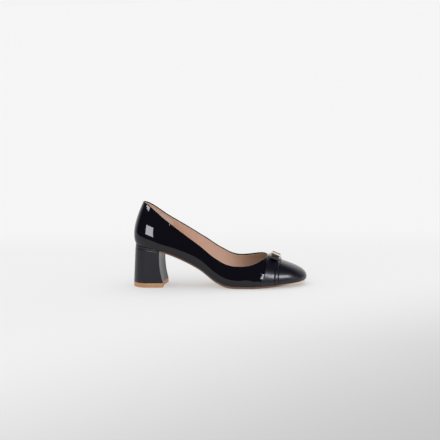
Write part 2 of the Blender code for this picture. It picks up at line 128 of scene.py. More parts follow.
SOLE_LINE = (
    SoleRow(-0.02, 1.010, 0.0),
    SoleRow(0.10, 0.931, 0.0),
    SoleRow(0.20, 0.828, 0.0),
    SoleRow(0.30, 0.651, 0.0),
    SoleRow(0.40, 0.424, 0.0),
    SoleRow(0.50, 0.118, 0.0),
    SoleRow(0.56, 0.020, 0.0),
    SoleRow(0.61, 0.000, 0.0),
    SoleRow(0.70, 0.000, 0.0),
    SoleRow(0.78, 0.000, 0.22),
    SoleRow(0.88, 0.000, 0.59),
    SoleRow(1.02, 0.000, 1.08),
)

SOLE_TAPER = (
    ThicknessRow(0.00, 0.0),
    ThicknessRow(0.42, 0.0),
    ThicknessRow(0.58, 1.0),
    ThicknessRow(1.02, 1.0),
)

# From the back of the heel round the outer side to the toe, and home round the inner side.
RIB_ROWS = (
    RibRow(0.015, 0.000, 0.066, 0.000, 1.000, 25, 27),
    RibRow(0.032, -0.195, 0.082, -0.120, 0.990, 24, 25),
    RibRow(0.083, -0.300, 0.121, -0.208, 0.926, 22, 20),
    RibRow(0.168, -0.336, 0.193, -0.265, 0.759, 15, 12),
    RibRow(0.276, -0.325, 0.293, -0.306, 0.615, 22, 6),
    RibRow(0.397, -0.345, 0.401, -0.353, 0.533, 28, 4),
    RibRow(0.510, -0.413, 0.502, -0.400, 0.508, 28, 4),
    RibRow(0.619, -0.478, 0.598, -0.435, 0.453, 22, 8),
    RibRow(0.719, -0.493, 0.682, -0.415, 0.453, 8, 34),
    RibRow(0.820, -0.450, 0.737, -0.322, 0.503, 9, 46),
    RibRow(0.900, -0.364, 0.767, -0.205, 0.551, 12, 52),
    RibRow(0.952, -0.280, 0.779, -0.110, 0.575, 15, 57),
    RibRow(0.987, -0.140, 0.784, -0.050, 0.585, 17, 59),
    RibRow(1.000, 0.030, 0.785, 0.010, 0.591, 18, 60),
    RibRow(0.990, 0.190, 0.784, 0.070, 0.596, 17, 59),
    RibRow(0.955, 0.322, 0.780, 0.130, 0.601, 15, 57),
    RibRow(0.900, 0.411, 0.767, 0.240, 0.611, 12, 52),
    RibRow(0.820, 0.483, 0.729, 0.362, 0.612, 9, 45),
    RibRow(0.719, 0.500, 0.669, 0.432, 0.578, 9, 32),
    RibRow(0.619, 0.447, 0.590, 0.444, 0.566, 14, 18),
    RibRow(0.510, 0.347, 0.502, 0.411, 0.620, 26, 10),
    RibRow(0.397, 0.287, 0.401, 0.360, 0.610, 34, 6),
    RibRow(0.276, 0.300, 0.293, 0.313, 0.666, 25, 8),
    RibRow(0.168, 0.336, 0.193, 0.270, 0.756, 17, 12),
    RibRow(0.083, 0.300, 0.121, 0.210, 0.900, 22, 20),
    RibRow(0.032, 0.195, 0.082, 0.120, 0.975, 24, 25),
)

KEEPER_ROWS = (
    KeeperRow(0.00, 1.10),
    KeeperRow(0.34, 1.07),
    KeeperRow(0.60, 0.98),
    KeeperRow(0.72, 0.60),
    KeeperRow(0.84, 0.16),
    KeeperRow(1.00, 0.02),
)

# Side -1 is the outer side of the foot. A negative depth is a ridge.
CREASE_ROWS = (
    CreaseRow(-1, 152, 10, 146, 26, 3.8, 0.10),
    CreaseRow(-1, 141, 12, 137, 27, 3.4, -0.07),
    CreaseRow(-1, 131, 14, 128, 29, 3.6, 0.08),
    CreaseRow(1, 150, 10, 145, 30, 3.4, 0.18),
    CreaseRow(1, 138, 12, 135, 32, 3.0, -0.12),
    CreaseRow(1, 126, 16, 123, 36, 3.4, 0.14),
    CreaseRow(-1, 18, 92, 34, 86, 4.0, 0.14),
    CreaseRow(-1, 30, 75, 44, 69, 4.6, -0.12),
    CreaseRow(1, 22, 90, 40, 82, 4.4, 0.14),
    CreaseRow(1, 66, 60, 86, 48, 5.0, 0.13),
)


MM_PER_METRE = 1000


def hermite(t: np.ndarray, width: np.ndarray, ends: Sequence, slopes: Sequence) -> np.ndarray:
    """A cubic between two values that leaves the first and meets the second at given slopes.

    Args:
        t: how far along, from 0 to 1.
        width: the distance between the two.
        ends: the two values.
        slopes: the two slopes.

    Returns:
        The value at each place.
    """
    return (
        (2 * t**3 - 3 * t**2 + 1) * ends[0]
        + (t**3 - 2 * t**2 + t) * width * slopes[0]
        + (3 * t**2 - 2 * t**3) * ends[1]
        + (t**3 - t**2) * width * slopes[1]
    )


def monotone_curve(rows: Sequence[Sequence[float]], column: int, at: np.ndarray) -> np.ndarray:
    """A smooth curve through a table's rows that never overshoots them.

    Args:
        rows: the table, whose first column runs upwards.
        column: which column to follow.
        at: places in the units of the first column.

    Returns:
        The column's value at each place.
    """
    xs, ys = np.array(rows, float)[:, 0], np.array(rows, float)[:, column]
    step, slope = np.diff(xs), np.diff(ys) / np.diff(xs)
    tangent = np.concatenate(([slope[0]], np.zeros(len(xs) - 2), [slope[-1]]))
    for i in range(1, len(xs) - 1):
        if slope[i - 1] * slope[i] > 0:
            before, after = 2 * step[i] + step[i - 1], step[i] + 2 * step[i - 1]
            tangent[i] = (before + after) / (before / slope[i - 1] + after / slope[i])
    i = np.clip(np.searchsorted(xs, at) - 1, 0, len(xs) - 2)
    return hermite((at - xs[i]) / step[i], step[i], (ys[i], ys[i + 1]), (tangent[i], tangent[i + 1]))


def closed_spline(knots: np.ndarray, values: np.ndarray, at: np.ndarray) -> np.ndarray:
    """A closed cubic curve with even curvature through values.

    Args:
        knots: where each value lies; the last knot closes the loop.
        values: one row of numbers for each knot but the last.
        at: places between the first knot and the last.

    Returns:
        One row of numbers for each place.
    """
    count, step = len(values), np.diff(knots)
    system, right = np.zeros((count, count)), np.zeros_like(values)
    for i in range(count):
        before, after = step[i - 1], step[i]
        system[i, i - 1] += after
        system[i, i] += 2 * (before + after)
        system[i, (i + 1) % count] += before
        rise_before = (values[i] - values[i - 1]) / before
        rise_after = (values[(i + 1) % count] - values[i]) / after
        right[i] = 3 * (after * rise_before + before * rise_after)
    tangent = np.linalg.solve(system, right)
    i = np.clip(np.searchsorted(knots, at, side="right") - 1, 0, count - 1)
    after = (i + 1) % count
    t, width = ((at - knots[i]) / step[i])[:, None], step[i][:, None]
    return hermite(t, width, (values[i], values[after]), (tangent[i], tangent[after]))


def run_along(points: np.ndarray, closed: bool = False) -> np.ndarray:
    """The distance along a row of points from the first to each.

    Args:
        points: the row.
        closed: whether it ends where it starts, which adds one distance for the way back.

    Returns:
        One distance for each point, and the whole way round after them if the row is closed.
    """
    row = np.vstack([points, points[:1]]) if closed else points
    return np.concatenate(([0.0], np.cumsum(np.linalg.norm(np.diff(row, axis=0), axis=1))))


def outward(points: np.ndarray) -> np.ndarray:
    """Unit vectors out of a closed outline in plan that runs anticlockwise seen from above.

    Args:
        points: the outline.

    Returns:
        One vector for each point.
    """
    along = np.roll(points[:, :2], -1, axis=0) - np.roll(points[:, :2], 1, axis=0)
    normal = np.stack([along[:, 1], -along[:, 0]], axis=1)
    normal /= np.linalg.norm(normal, axis=1)[:, None]
    return np.column_stack([normal, np.zeros(len(points))])


class Plane(NamedTuple):
    """A cut across the shoe: a point on it, the direction of its front, and how far it bulges forward."""

    point: np.ndarray
    front: np.ndarray
    bulge: float = 0.0
    rise: float = 1.0

    def ahead(self, points: np.ndarray) -> np.ndarray:
        """How far each point lies in front of the plane, which may bulge forward below a rise."""
        share = np.clip(points[..., 2] / self.rise, 0.0, 1.0)
        return (points - self.point) @ self.front - self.bulge * 4 * share * (1 - share)


@dataclass(frozen=True)
class Last:
    """The form that the upper is pulled over, with the sole line under it.

    A place on the upper is a share, from 0 at the back round the outer side to the toe and home to 1, and
    a rise, from 0 at the feather line to 1 at the topline.
    """

    length: float = 0.2392
    ball_width: float = 0.0750
    heel_rise: float = 0.0600
    collar_height: float = 0.0616
    toe_spring: float = 0.0044
    sole_thickness: float = 0.0036
    shank_thickness: float = 0.0026
    clearance: float = 0.0003
    lower_pull: float = 0.29
    upper_pull: float = 0.34
    seat_length: float = 0.0405
    heel_setback: float = -0.0016
    breast_lean: float = 0.0029
    wall: float = 0.0020
    rib_count: int = 2400
    cut_places: int = 600
    cut_halvings: int = 32
    outline_pitch: int = 5

    @property
    def seat_back(self) -> float:
        """X of the back of the seat, since the middle of the heel's foot is the origin."""
        return -(self.heel_setback + self.seat_length + self.breast_lean) / 2

    @property
    def throat(self) -> float:
        """X of the front of the topline."""
        return self.seat_back + self.length * max(row.top_along for row in RIB_ROWS)

    def sole_line(self, x: np.ndarray) -> np.ndarray:
        """Height of the sole's upper face at X.

        Args:
            x: places along the shoe.

        Returns:
            One height for each.
        """
        share = (np.asarray(x, float) - self.seat_back) / self.length
        heel = (self.heel_rise - self.sole_thickness) * monotone_curve(SOLE_LINE, 1, share)
        return self.sole_thickness + heel + self.toe_spring * monotone_curve(SOLE_LINE, 2, share)

    def sole_bottom(self, x: np.ndarray) -> np.ndarray:
        """Height of the sole's lower face at X."""
        full = monotone_curve(SOLE_TAPER, 1, (np.asarray(x, float) - self.seat_back) / self.length)
        return self.sole_line(x) - self.shank_thickness - (self.sole_thickness - self.shank_thickness) * full

    @cached_property
    def ribs(self) -> np.ndarray:
        """The four Bezier points of each rib.

        Returns:
            Places, as ribs by points by three.
        """
        rows = np.array(RIB_ROWS, float)
        foot_rows = rows[:, :2] * (self.length, self.ball_width)
        knots = run_along(foot_rows, closed=True)
        at = np.linspace(0.0, knots[-1], self.rib_count, endpoint=False)
        along, across, top_along, top_across, rise, flare, lean = closed_spline(knots, rows, at).T
        foot_x, top_x = self.seat_back + along * self.length, self.seat_back + top_along * self.length
        foot_z = self.sole_line(foot_x) + self.clearance
        foot = np.stack([foot_x, across * self.ball_width, foot_z], axis=1)
        top_z = self.sole_line(top_x) + rise * self.collar_height
        top = np.stack([top_x, top_across * self.ball_width, top_z], axis=1)
        chord = np.linalg.norm(top - foot, axis=1)[:, None]
        flare, lean = np.radians(flare)[:, None], np.radians(lean)[:, None]
        up = np.array([0.0, 0.0, 1.0])
        low = foot + self.lower_pull * chord * (outward(foot) * np.sin(flare) + up * np.cos(flare))
        high = top + self.upper_pull * chord * (outward(top) * np.sin(lean) - up * np.cos(lean))
        return np.stack([foot, low, high, top], axis=1)

    @cached_property
    def rib_turns(self) -> np.ndarray:
        """How the four points change from rib to rib."""
        return np.roll(self.ribs, -1, axis=0) - np.roll(self.ribs, 1, axis=0)

    def between(self, table: np.ndarray, share: np.ndarray) -> np.ndarray:
        """A table of ribs read at shares that may lie between two ribs.

        Args:
            table: one row for each rib.
            share: where to read it.

        Returns:
            One row for each share.
        """
        place = np.mod(share, 1.0) * self.rib_count
        before = np.floor(place).astype(int)
        part = (place - before)[..., None, None]
        return table[before % self.rib_count] * (1 - part) + table[(before + 1) % self.rib_count] * part

    def slope(self, share: np.ndarray, rise: np.ndarray) -> np.ndarray:
        """The direction up the wall, as long as a full rise would be at that pace.

        Args:
            share: which ribs.
            rise: how far up each.

        Returns:
            One vector for each place.
        """
        foot, low, high, top = np.moveaxis(self.between(self.ribs, share), -2, 0)
        t = rise[..., None]
        return 3 * (1 - t) ** 2 * (low - foot) + 6 * (1 - t) * t * (high - low) + 3 * t**2 * (top - high)

    def top_pace(self, share: np.ndarray) -> np.ndarray:
        """Length up the wall that a full rise would take at the pace of the topline."""
        return np.linalg.norm(self.slope(share, np.ones_like(share)), axis=-1)

    def surface(self, table: np.ndarray, share: np.ndarray, rise: np.ndarray) -> np.ndarray:
        """The Bezier sum of a table's four points.

        Args:
            table: four points for each rib.
            share: which ribs.
            rise: how far up each.

        Returns:
            One point for each place.
        """
        foot, low, high, top = np.moveaxis(self.between(table, share), -2, 0)
        t = rise[..., None]
        return (1 - t) ** 3 * foot + 3 * (1 - t) ** 2 * t * low + 3 * (1 - t) * t**2 * high + t**3 * top

    def normal(self, share: np.ndarray, rise: np.ndarray) -> np.ndarray:
        """The outward unit normal of the upper."""
        across = np.cross(self.surface(self.rib_turns, share, rise), self.slope(share, rise))
        return across / np.linalg.norm(across, axis=-1)[..., None]

    def place(self, share: np.ndarray, rise: np.ndarray, out: float | np.ndarray = 0.0) -> np.ndarray:
        """Points of the upper's outer face, moved out along its normals.

        Args:
            share: places round the shoe.
            rise: places up the wall, as many as the shares.
            out: how far outside the face the points lie.

        Returns:
            One point for each place.
        """
        share, rise, out = np.broadcast_arrays(share, rise, out)
        return self.surface(self.ribs, share, rise) + self.normal(share, rise) * out[..., None]

    def wall_length(self, share: np.ndarray, rise: np.ndarray) -> np.ndarray:
        """Length up the wall from the feather line to a rise.

        Args:
            share: which ribs.
            rise: how far up each.

        Returns:
            One length for each rib.
        """
        steps = np.linspace(0.0, 1.0, 25)[:, None] * rise
        points = self.surface(self.ribs, np.broadcast_to(share, steps.shape), steps)
        return np.linalg.norm(np.diff(points, axis=0), axis=-1).sum(axis=0)

    def span(self, plane: Plane) -> tuple[float, float]:
        """The shares at which the feather line crosses a plane.

        Args:
            plane: the plane.

        Returns:
            The outer and the inner share.
        """
        ahead = plane.ahead(self.ribs[:, 0])
        front = np.flatnonzero(ahead > 0)
        first, last = front[0], front[-1]
        outer = first - ahead[first] / (ahead[first] - ahead[first - 1])
        inner = last + ahead[last] / (ahead[last] - ahead[(last + 1) % self.rib_count])
        return outer / self.rib_count, inner / self.rib_count

    def cut(self, share: np.ndarray, plane: Plane) -> np.ndarray:
        """The rise at which the rib at each share crosses a plane on its way back to the topline.

        Args:
            share: which ribs.
            plane: the plane.

        Returns:
            One rise for each rib.
        """
        low, high = np.zeros_like(share), np.ones_like(share)
        for _ in range(self.cut_halvings):
            middle = (low + high) / 2
            ahead = plane.ahead(self.surface(self.ribs, share, middle)) > 0
            low, high = np.where(ahead, middle, low), np.where(ahead, high, middle)
        return (low + high) / 2

    def section(self, plane: Plane, count: int) -> tuple[np.ndarray, np.ndarray]:
        """Evenly spaced places along a plane's cut, from the outer feather line over the foot to the inner.

        Args:
            plane: where to cut; it lies in front of the topline.
            count: how many places.

        Returns:
            Their shares and their rises.
        """
        share = np.linspace(*self.span(plane), self.cut_places)
        rise = self.cut(share, plane)
        rise[[0, -1]] = 0.0
        points = self.surface(self.ribs, share, rise)
        run = run_along(points)
        at = np.linspace(0.0, run[-1], count)
        return np.interp(at, run, share), np.interp(at, run, rise)

    def outline(self, inset: float) -> tuple[np.ndarray, np.ndarray]:
        """The feather line in plan, moved in.

        Args:
            inset: how far it is moved in.

        Returns:
            Its outer and its inner half, each from back to toe.
        """
        foot = self.ribs[:: self.outline_pitch, 0]
        points = (foot - outward(foot) * inset)[:, :2]
        points = np.roll(points, -int(points[:, 0].argmin()), axis=0)
        tip = int(points[:, 0].argmax())
        return points[: tip + 1], np.vstack([points[tip:], points[:1]])[::-1]

    @cached_property
    def skin(self) -> BVHTree:
        """The upper's outer face as a tree for rays from above.

        Returns:
            The tree.
        """
        around, levels = 480, 40
        share = np.broadcast_to(np.arange(around)[:, None] / around, (around, levels + 1))
        points = self.place(share, np.broadcast_to(np.linspace(0.0, 1.0, levels + 1), share.shape))
        row = np.arange(levels)
        faces = []
        for i in range(around):
            here, after = i * (levels + 1), (i + 1) % around * (levels + 1)
            faces += [(here + k, after + k, after + k + 1, here + k + 1) for k in row]
        return BVHTree.FromPolygons(points.reshape(-1, 3).tolist(), faces)

    def above(self, x: float, y: float) -> Vector:
        """The point of the upper's outer face above a place in plan."""
        return self.skin.ray_cast(Vector((x, y, 1.0)), Vector((0.0, 0.0, -1.0)))[0]


OWN_MAP = "own"


class Ends(Enum):
    """How a stack of rings ends."""

    CAPPED = "capped"
    JOINED = "joined"


def deselect() -> None:
    """Clears the selection, because an operator acts on all that is selected."""
    bpy.ops.object.select_all(action="DESELECT")


def ring_stack(name: str, rings: np.ndarray, ends: Ends, marks: np.ndarray | None = None) -> Piece:
    """A skin through rings: a circle is extruded ring by ring, then each ring goes to its place.

    Args:
        name: the piece's name.
        rings: points, as rings by points by three, each ring running the same way.
        ends: whether the first and last rings are filled or meet.
        marks: two numbers for each point, kept as the piece's own map; joined rings give the first ring's
            marks once more at the end.

    Returns:
        The piece, with its place in its mesh and its faces pointing out.
    """
    if ends is Ends.JOINED:
        rings = np.concatenate([rings, rings[:1]])
    count, around = rings.shape[:2]
    deselect()
    bpy.ops.mesh.primitive_circle_add(vertices=around, radius=1.0, location=(0.0, 0.0, 0.0))
    piece = bpy.context.active_object
    piece.name = piece.data.name = name
    bpy.ops.object.mode_set(mode="EDIT")
    bpy.ops.mesh.select_mode(type="EDGE")
    bpy.ops.mesh.select_all(action="SELECT")
    if ends is Ends.CAPPED:
        bpy.ops.mesh.edge_face_add()
        bpy.ops.mesh.select_all(action="SELECT")
    for _ in range(count - 1):
        bpy.ops.mesh.extrude_edges_move(TRANSFORM_OT_translate={"value": (0.0, 0.0, 1.0)})
    if ends is Ends.CAPPED:
        bpy.ops.mesh.edge_face_add()
    bpy.ops.object.mode_set(mode="OBJECT")
    flat = np.empty(len(piece.data.vertices) * 3, np.float32)
    piece.data.vertices.foreach_get("co", flat)
    flat = flat.reshape(-1, 3)
    turn = np.arctan2(flat[:, 1], flat[:, 0]) / (2 * math.pi) * around
    first = turn[0]
    owner = np.rint(flat[:, 2]).astype(int), np.rint(turn - first).astype(int) % around
    piece.data.vertices.foreach_set("co", rings[owner].astype(np.float32).ravel())
    piece.data.update()
    if marks is not None:
        vertices = np.empty(len(piece.data.loops), np.int32)
        piece.data.loops.foreach_get("vertex_index", vertices)
        own = piece.data.uv_layers.new(name=OWN_MAP)
        own.data.foreach_set("uv", marks[owner][vertices].astype(np.float32).ravel())
    if ends is Ends.JOINED:
        merge_doubles(piece)
    face_out(piece)
    return piece


def merge_doubles(piece: Piece, within: float = 1e-6) -> None:
    """Merges points that lie on each other.

    Args:
        piece: a mesh.
        within: the longest distance to merge over.
    """
    activate(piece)
    bpy.ops.object.mode_set(mode="EDIT")
    bpy.ops.mesh.select_all(action="SELECT")
    bpy.ops.mesh.remove_doubles(threshold=within)
    bpy.ops.object.mode_set(mode="OBJECT")


def activate(piece: Piece) -> None:
    """Makes a piece the only selected and the active one.

    Args:
        piece: the piece.
    """
    deselect()
    piece.select_set(True)
    bpy.context.view_layer.objects.active = piece


def volume_of(piece: Piece) -> float:
    """Measures the inside of a closed piece.

    Args:
        piece: a closed mesh.

    Returns:
        The volume in cubic metres, negative where the faces point inwards.
    """
    mesh = piece.data
    mesh.calc_loop_triangles()
    corners = np.empty(len(mesh.loop_triangles) * 3, np.int32)
    mesh.loop_triangles.foreach_get("vertices", corners)
    points = np.empty(len(mesh.vertices) * 3, np.float32)
    mesh.vertices.foreach_get("co", points)
    a, b, c = np.moveaxis(points.reshape(-1, 3).astype(float)[corners.reshape(-1, 3)], 1, 0)
    return float((a * np.cross(b, c)).sum() / 6)


def face_out(piece: Piece) -> None:
    """Turns a closed piece's faces round if they point inwards.

    Args:
        piece: the piece.
    """
    if volume_of(piece) < 0:
        activate(piece)
        bpy.ops.object.mode_set(mode="EDIT")
        bpy.ops.mesh.select_all(action="SELECT")
        bpy.ops.mesh.flip_normals()
        bpy.ops.object.mode_set(mode="OBJECT")


def smooth(piece: Piece, angle: float = 40.0) -> None:
    """Shades a piece smooth, but for the edges sharper than an angle in degrees."""
    activate(piece)
    bpy.ops.object.shade_smooth_by_angle(angle=math.radians(angle))


def apply_modifiers(piece: Piece) -> None:
    """Applies all of a piece's modifiers, in order.

    Args:
        piece: the piece.
    """
    activate(piece)
    for modifier in list(piece.modifiers):
        bpy.ops.object.modifier_apply(modifier=modifier.name)


def placed(name: str, data: bpy.types.ID) -> Piece:
    """Puts a mesh, a lamp or a camera in the scene.

    Args:
        name: the object's name.
        data: what it shows.

    Returns:
        The object.
    """
    thing = bpy.data.objects.new(name, data)
    bpy.context.scene.collection.objects.link(thing)
    return thing


def scattered(name: str, template: Piece, places: Sequence[Matrix]) -> Piece:
    """One mesh of many copies of a small shape.

    Args:
        name: the new piece's name.
        template: the shape, modelled once at the origin; it is removed.
        places: where each copy goes.

    Returns:
        The joined piece.
    """
    points = np.array([vertex.co for vertex in template.data.vertices])
    faces = [tuple(face.vertices) for face in template.data.polygons]
    turned, joined = [], []
    for number, place in enumerate(places):
        grid = np.array(place)
        turned.append(points @ grid[:3, :3].T + grid[:3, 3])
        joined += [tuple(corner + number * len(points) for corner in face) for face in faces]
    mesh = bpy.data.meshes.new(name)
    mesh.from_pydata(np.vstack(turned).tolist(), [], joined)
    piece = placed(name, mesh)
    bpy.data.objects.remove(template, do_unlink=True)
    smooth(piece, 180.0)
    return piece


def rounded_profile(width: float, low: float, high: float, radius: float, across: int) -> np.ndarray:
    """A strip's cross-section with two round upper corners, as a closed loop.

    Args:
        width: how wide the strip is.
        low: height of its underside.
        high: height of its upper face.
        radius: of the two corners.
        across: how many points along each face.

    Returns:
        Rows of (place across, height), over the top from 0 to the width and back along the underside.
    """
    turn = np.linspace(0.0, math.pi / 2, 5)
    corner = np.stack([radius * (1 - np.cos(turn)), high - radius * (1 - np.sin(turn))], axis=1)
    flat = np.linspace(radius, width - radius, across)[1:-1]
    top = np.vstack([corner, np.column_stack([flat, np.full(len(flat), high)])])
    far = corner[::-1] * (-1, 1) + (width, 0)
    back = np.linspace(width, 0.0, across)
    return np.vstack([top, far, np.column_stack([back, np.full(across, low)])])


class Nodes:
    """A node tree, made one node by one and joined by their sockets."""

    def __init__(self, tree: bpy.types.NodeTree) -> None:
        """Starts with the nodes that the tree has."""
        self.tree = tree

    def add(self, kind: str, **settings: object) -> bpy.types.Node:
        """A new node with its settings.

        Args:
            kind: its type's name.
            settings: values for its own fields.

        Returns:
            The node.
        """
        node = self.tree.nodes.new(kind)
        for key, value in settings.items():
            setattr(node, key, value)
        return node

    def feed(self, socket: Socket, value: object) -> None:
        """Links a socket into an input, or sets the input's own value.

        Args:
            socket: the input.
            value: a socket or a value.
        """
        if isinstance(value, Socket):
            self.tree.links.new(value, socket)
        else:
            socket.default_value = value

    def math(self, operation: str, first: object, second: object = 0.0) -> Socket:
        """One sum of two numbers.

        Args:
            operation: its name.
            first: a socket or a number.
            second: the other.

        Returns:
            The result.
        """
        node = self.add("ShaderNodeMath", operation=operation)
        self.feed(node.inputs[0], first)
        self.feed(node.inputs[1], second)
        return node.outputs[0]

    def step(self, value: Socket, span: tuple[float, float]) -> Socket:
        """0 where a number is below a span and 1 above it, with a soft step between.

        Args:
            value: the number.
            span: where the step starts and ends.

        Returns:
            A number from 0 to 1.
        """
        node = self.add("ShaderNodeMapRange", interpolation_type="SMOOTHSTEP")
        self.feed(node.inputs["Value"], value)
        node.inputs["From Min"].default_value, node.inputs["From Max"].default_value = span
        return node.outputs[0]


class Tree(Nodes):
    """A material's nodes round a Principled shader, on the object's own coordinates."""

    def __init__(self, name: str) -> None:
        """Starts the material.

        Args:
            name: its name.
        """
        self.material = bpy.data.materials.new(name)
        self.material.use_nodes = True
        super().__init__(self.material.node_tree)
        self.shader = self.tree.nodes["Principled BSDF"]
        self.object_place = self.add("ShaderNodeTexCoord").outputs["Object"]

    def set(self, **values: object) -> None:
        """Sets or links the shader's inputs, named with underscores for spaces."""
        for key, value in values.items():
            self.feed(self.shader.inputs[key.replace("_", " ").title().replace("Ior", "IOR")], value)

    def stretched(self, scale: tuple[float, float, float]) -> Socket:
        """The object's coordinates, stretched along each axis.

        Args:
            scale: one factor for each axis.

        Returns:
            The coordinates.
        """
        node = self.add("ShaderNodeMapping")
        self.feed(node.inputs["Vector"], self.object_place)
        node.inputs["Scale"].default_value = scale
        return node.outputs[0]

    def noise(self, scale: float, detail: float = 2.0, place: Socket | None = None) -> Socket:
        """Soft noise.

        Args:
            scale: features to a metre.
            detail: how many finer layers it has.
            place: the coordinates, or the object's own.

        Returns:
            A number from 0 to 1.
        """
        node = self.add("ShaderNodeTexNoise")
        self.feed(node.inputs["Vector"], place or self.object_place)
        node.inputs["Scale"].default_value = scale
        node.inputs["Detail"].default_value = detail
        return node.outputs[0]

    def cells(self, scale: float, place: Socket | None = None) -> Socket:
        """Rounded cells, as in the grain of a hide.

        Args:
            scale: cells to a metre.
            place: the coordinates, or the object's own.

        Returns:
            A height.
        """
        node = self.add("ShaderNodeTexVoronoi", feature="SMOOTH_F1")
        self.feed(node.inputs["Vector"], place or self.object_place)
        node.inputs["Scale"].default_value = scale
        node.inputs["Smoothness"].default_value = 0.6
        return node.outputs["Distance"]

    def ramp(self, value: Socket, *stops: tuple[float, tuple[float, float, float]]) -> Socket:
        """A colour for a number.

        Args:
            value: the number.
            stops: pairs of a number and its colour.

        Returns:
            The colour.
        """
        node = self.add("ShaderNodeValToRGB")
        self.feed(node.inputs[0], value)
        elements = node.color_ramp.elements
        while len(elements) < len(stops):
            elements.new(0.5)
        for element, (at, color) in zip(elements, stops):
            element.position = at
            element.color = (*color, 1.0)
        return node.outputs[0]

    def spread(self, value: Socket, low: float, high: float) -> Socket:
        """A number from 0 to 1 brought between two others.

        Args:
            value: the number.
            low: what 0 becomes.
            high: what 1 becomes.

        Returns:
            The new number.
        """
        node = self.add("ShaderNodeMapRange")
        self.feed(node.inputs["Value"], value)
        node.inputs["To Min"].default_value = low
        node.inputs["To Max"].default_value = high
        return node.outputs[0]

    def mixed(self, share: object, first: object, second: object) -> Socket:
        """Two colours mixed.

        Args:
            share: how much of the second.
            first: a colour.
            second: the other.

        Returns:
            The mixed colour.
        """
        node = self.add("ShaderNodeMix", data_type="RGBA")
        self.feed(node.inputs[0], share)
        for socket, color in ((node.inputs[6], first), (node.inputs[7], second)):
            self.feed(socket, color if isinstance(color, Socket) else (*color, 1.0))
        return node.outputs[2]

    def parts(self, place: Socket | None = None) -> tuple[Socket, Socket, Socket]:
        """The three coordinates one by one.

        Args:
            place: the coordinates, or the object's own.

        Returns:
            X, Y and Z.
        """
        node = self.add("ShaderNodeSeparateXYZ")
        self.feed(node.inputs[0], place or self.object_place)
        return node.outputs[0], node.outputs[1], node.outputs[2]

    def relief(self, height: Socket, depth: float, over: Socket | None = None) -> Socket:
        """A bump of a real depth.

        Args:
            height: from 0 to 1.
            depth: what 1 is worth in metres.
            over: a bump under it, if any.

        Returns:
            The normal.
        """
        node = self.add("ShaderNodeBump")
        node.inputs["Distance"].default_value = depth
        self.feed(node.inputs["Height"], height)
        if over:
            self.feed(node.inputs["Normal"], over)
        return node.outputs[0]


    def fibres(self) -> Socket:
        """Noise drawn out level along a cut edge of leather, as its fibres lie."""
        return self.noise(900.0, 4.0, self.stretched((0.25, 0.25, 3.0)))

    def open_pores(self, over: Socket | None = None) -> Socket:
        """A bump for the fine pores of undyed leather."""
        return self.relief(self.noise(3600.0, 3.0), 0.00002, over)


@dataclass(frozen=True)
class Patent:
    """Navy patent leather: a hard clear coat over near-black leather, very slightly uneven."""

    name: str = "navy_patent"
    deep: tuple[float, float, float] = (0.0034, 0.0031, 0.0050)
    blue: tuple[float, float, float] = (0.0050, 0.0046, 0.0090)
    peel: float = 0.000012
    waves: float = 0.000045
    roughness: tuple[float, float] = (0.16, 0.26)
    coat_roughness: float = 0.025
    coat_ior: float = 1.43

    def material(self) -> bpy.types.Material:
        """Mixes this finish.

        Returns:
            The material.
        """
        tree = Tree(self.name)
        color = tree.mixed(tree.noise(45.0, 3.0), self.deep, self.blue)
        swell = tree.relief(tree.noise(85.0, 1.0), self.waves)
        peel = tree.relief(tree.noise(420.0, 1.0), self.peel, swell)
        gloss = tree.spread(tree.noise(260.0, 4.0), *self.roughness)
        tree.set(base_color=color, roughness=gloss, normal=peel, specular_ior_level=0.0, coat_weight=1.0)
        tree.set(coat_roughness=self.coat_roughness, coat_ior=self.coat_ior, coat_normal=peel)
        return tree.material


@dataclass(frozen=True)
class Calf:
    """Navy leather with a fine grain, glossy on the toe and satin on the heel."""

    name: str = "navy_calf"
    deep: tuple[float, float, float] = (0.0028, 0.0022, 0.0070)
    blue: tuple[float, float, float] = (0.0056, 0.0050, 0.0175)
    roughness: tuple[float, float] = (0.29, 0.35)
    specular: float = 0.42
    coat: float = 0.2
    coat_roughness: float = 0.12
    grain: float = 0.000006

    def material(self) -> bpy.types.Material:
        """Mixes this finish.

        Returns:
            The material.
        """
        tree = Tree(self.name)
        color = tree.mixed(tree.noise(70.0, 4.0), self.deep, self.blue)
        creep = tree.relief(tree.noise(120.0), self.grain * 3)
        pores = tree.relief(tree.cells(1900.0), self.grain, creep)
        fine = tree.relief(tree.noise(5200.0), self.grain * 0.5, pores)
        gloss = tree.spread(tree.noise(380.0, 4.0), *self.roughness)
        tree.set(base_color=color, roughness=gloss, normal=fine)
        tree.set(specular_ior_level=self.specular, coat_weight=self.coat, coat_roughness=self.coat_roughness)
        return tree.material


@dataclass(frozen=True)
class NaturalLeather:
    """Undyed tan leather at the edge of a sole or a top piece, in thin pressed layers."""

    name: str = "natural_leather"
    pale: tuple[float, float, float] = (0.530, 0.285, 0.140)
    brown: tuple[float, float, float] = (0.390, 0.195, 0.088)
    layer: float = 0.0011
    layer_depth: float = 0.00005
    roughness: tuple[float, float] = (0.42, 0.58)

    def material(self) -> bpy.types.Material:
        """Mixes this finish.

        Returns:
            The material.
        """
        tree = Tree(self.name)
        blotch = tree.noise(60.0, 3.0)
        tone = tree.math("ADD", tree.math("MULTIPLY", tree.fibres(), 0.6), tree.math("MULTIPLY", blotch, 0.4))
        color = tree.ramp(tone, (0.30, self.brown), (0.62, self.pale))
        layers = tree.noise(1.0 / self.layer, 1.0, tree.stretched((0.02, 0.02, 1.0)))
        pores = tree.open_pores(tree.relief(layers, self.layer_depth))
        tree.set(base_color=color, roughness=tree.spread(blotch, *self.roughness), normal=pores)
        return tree.material


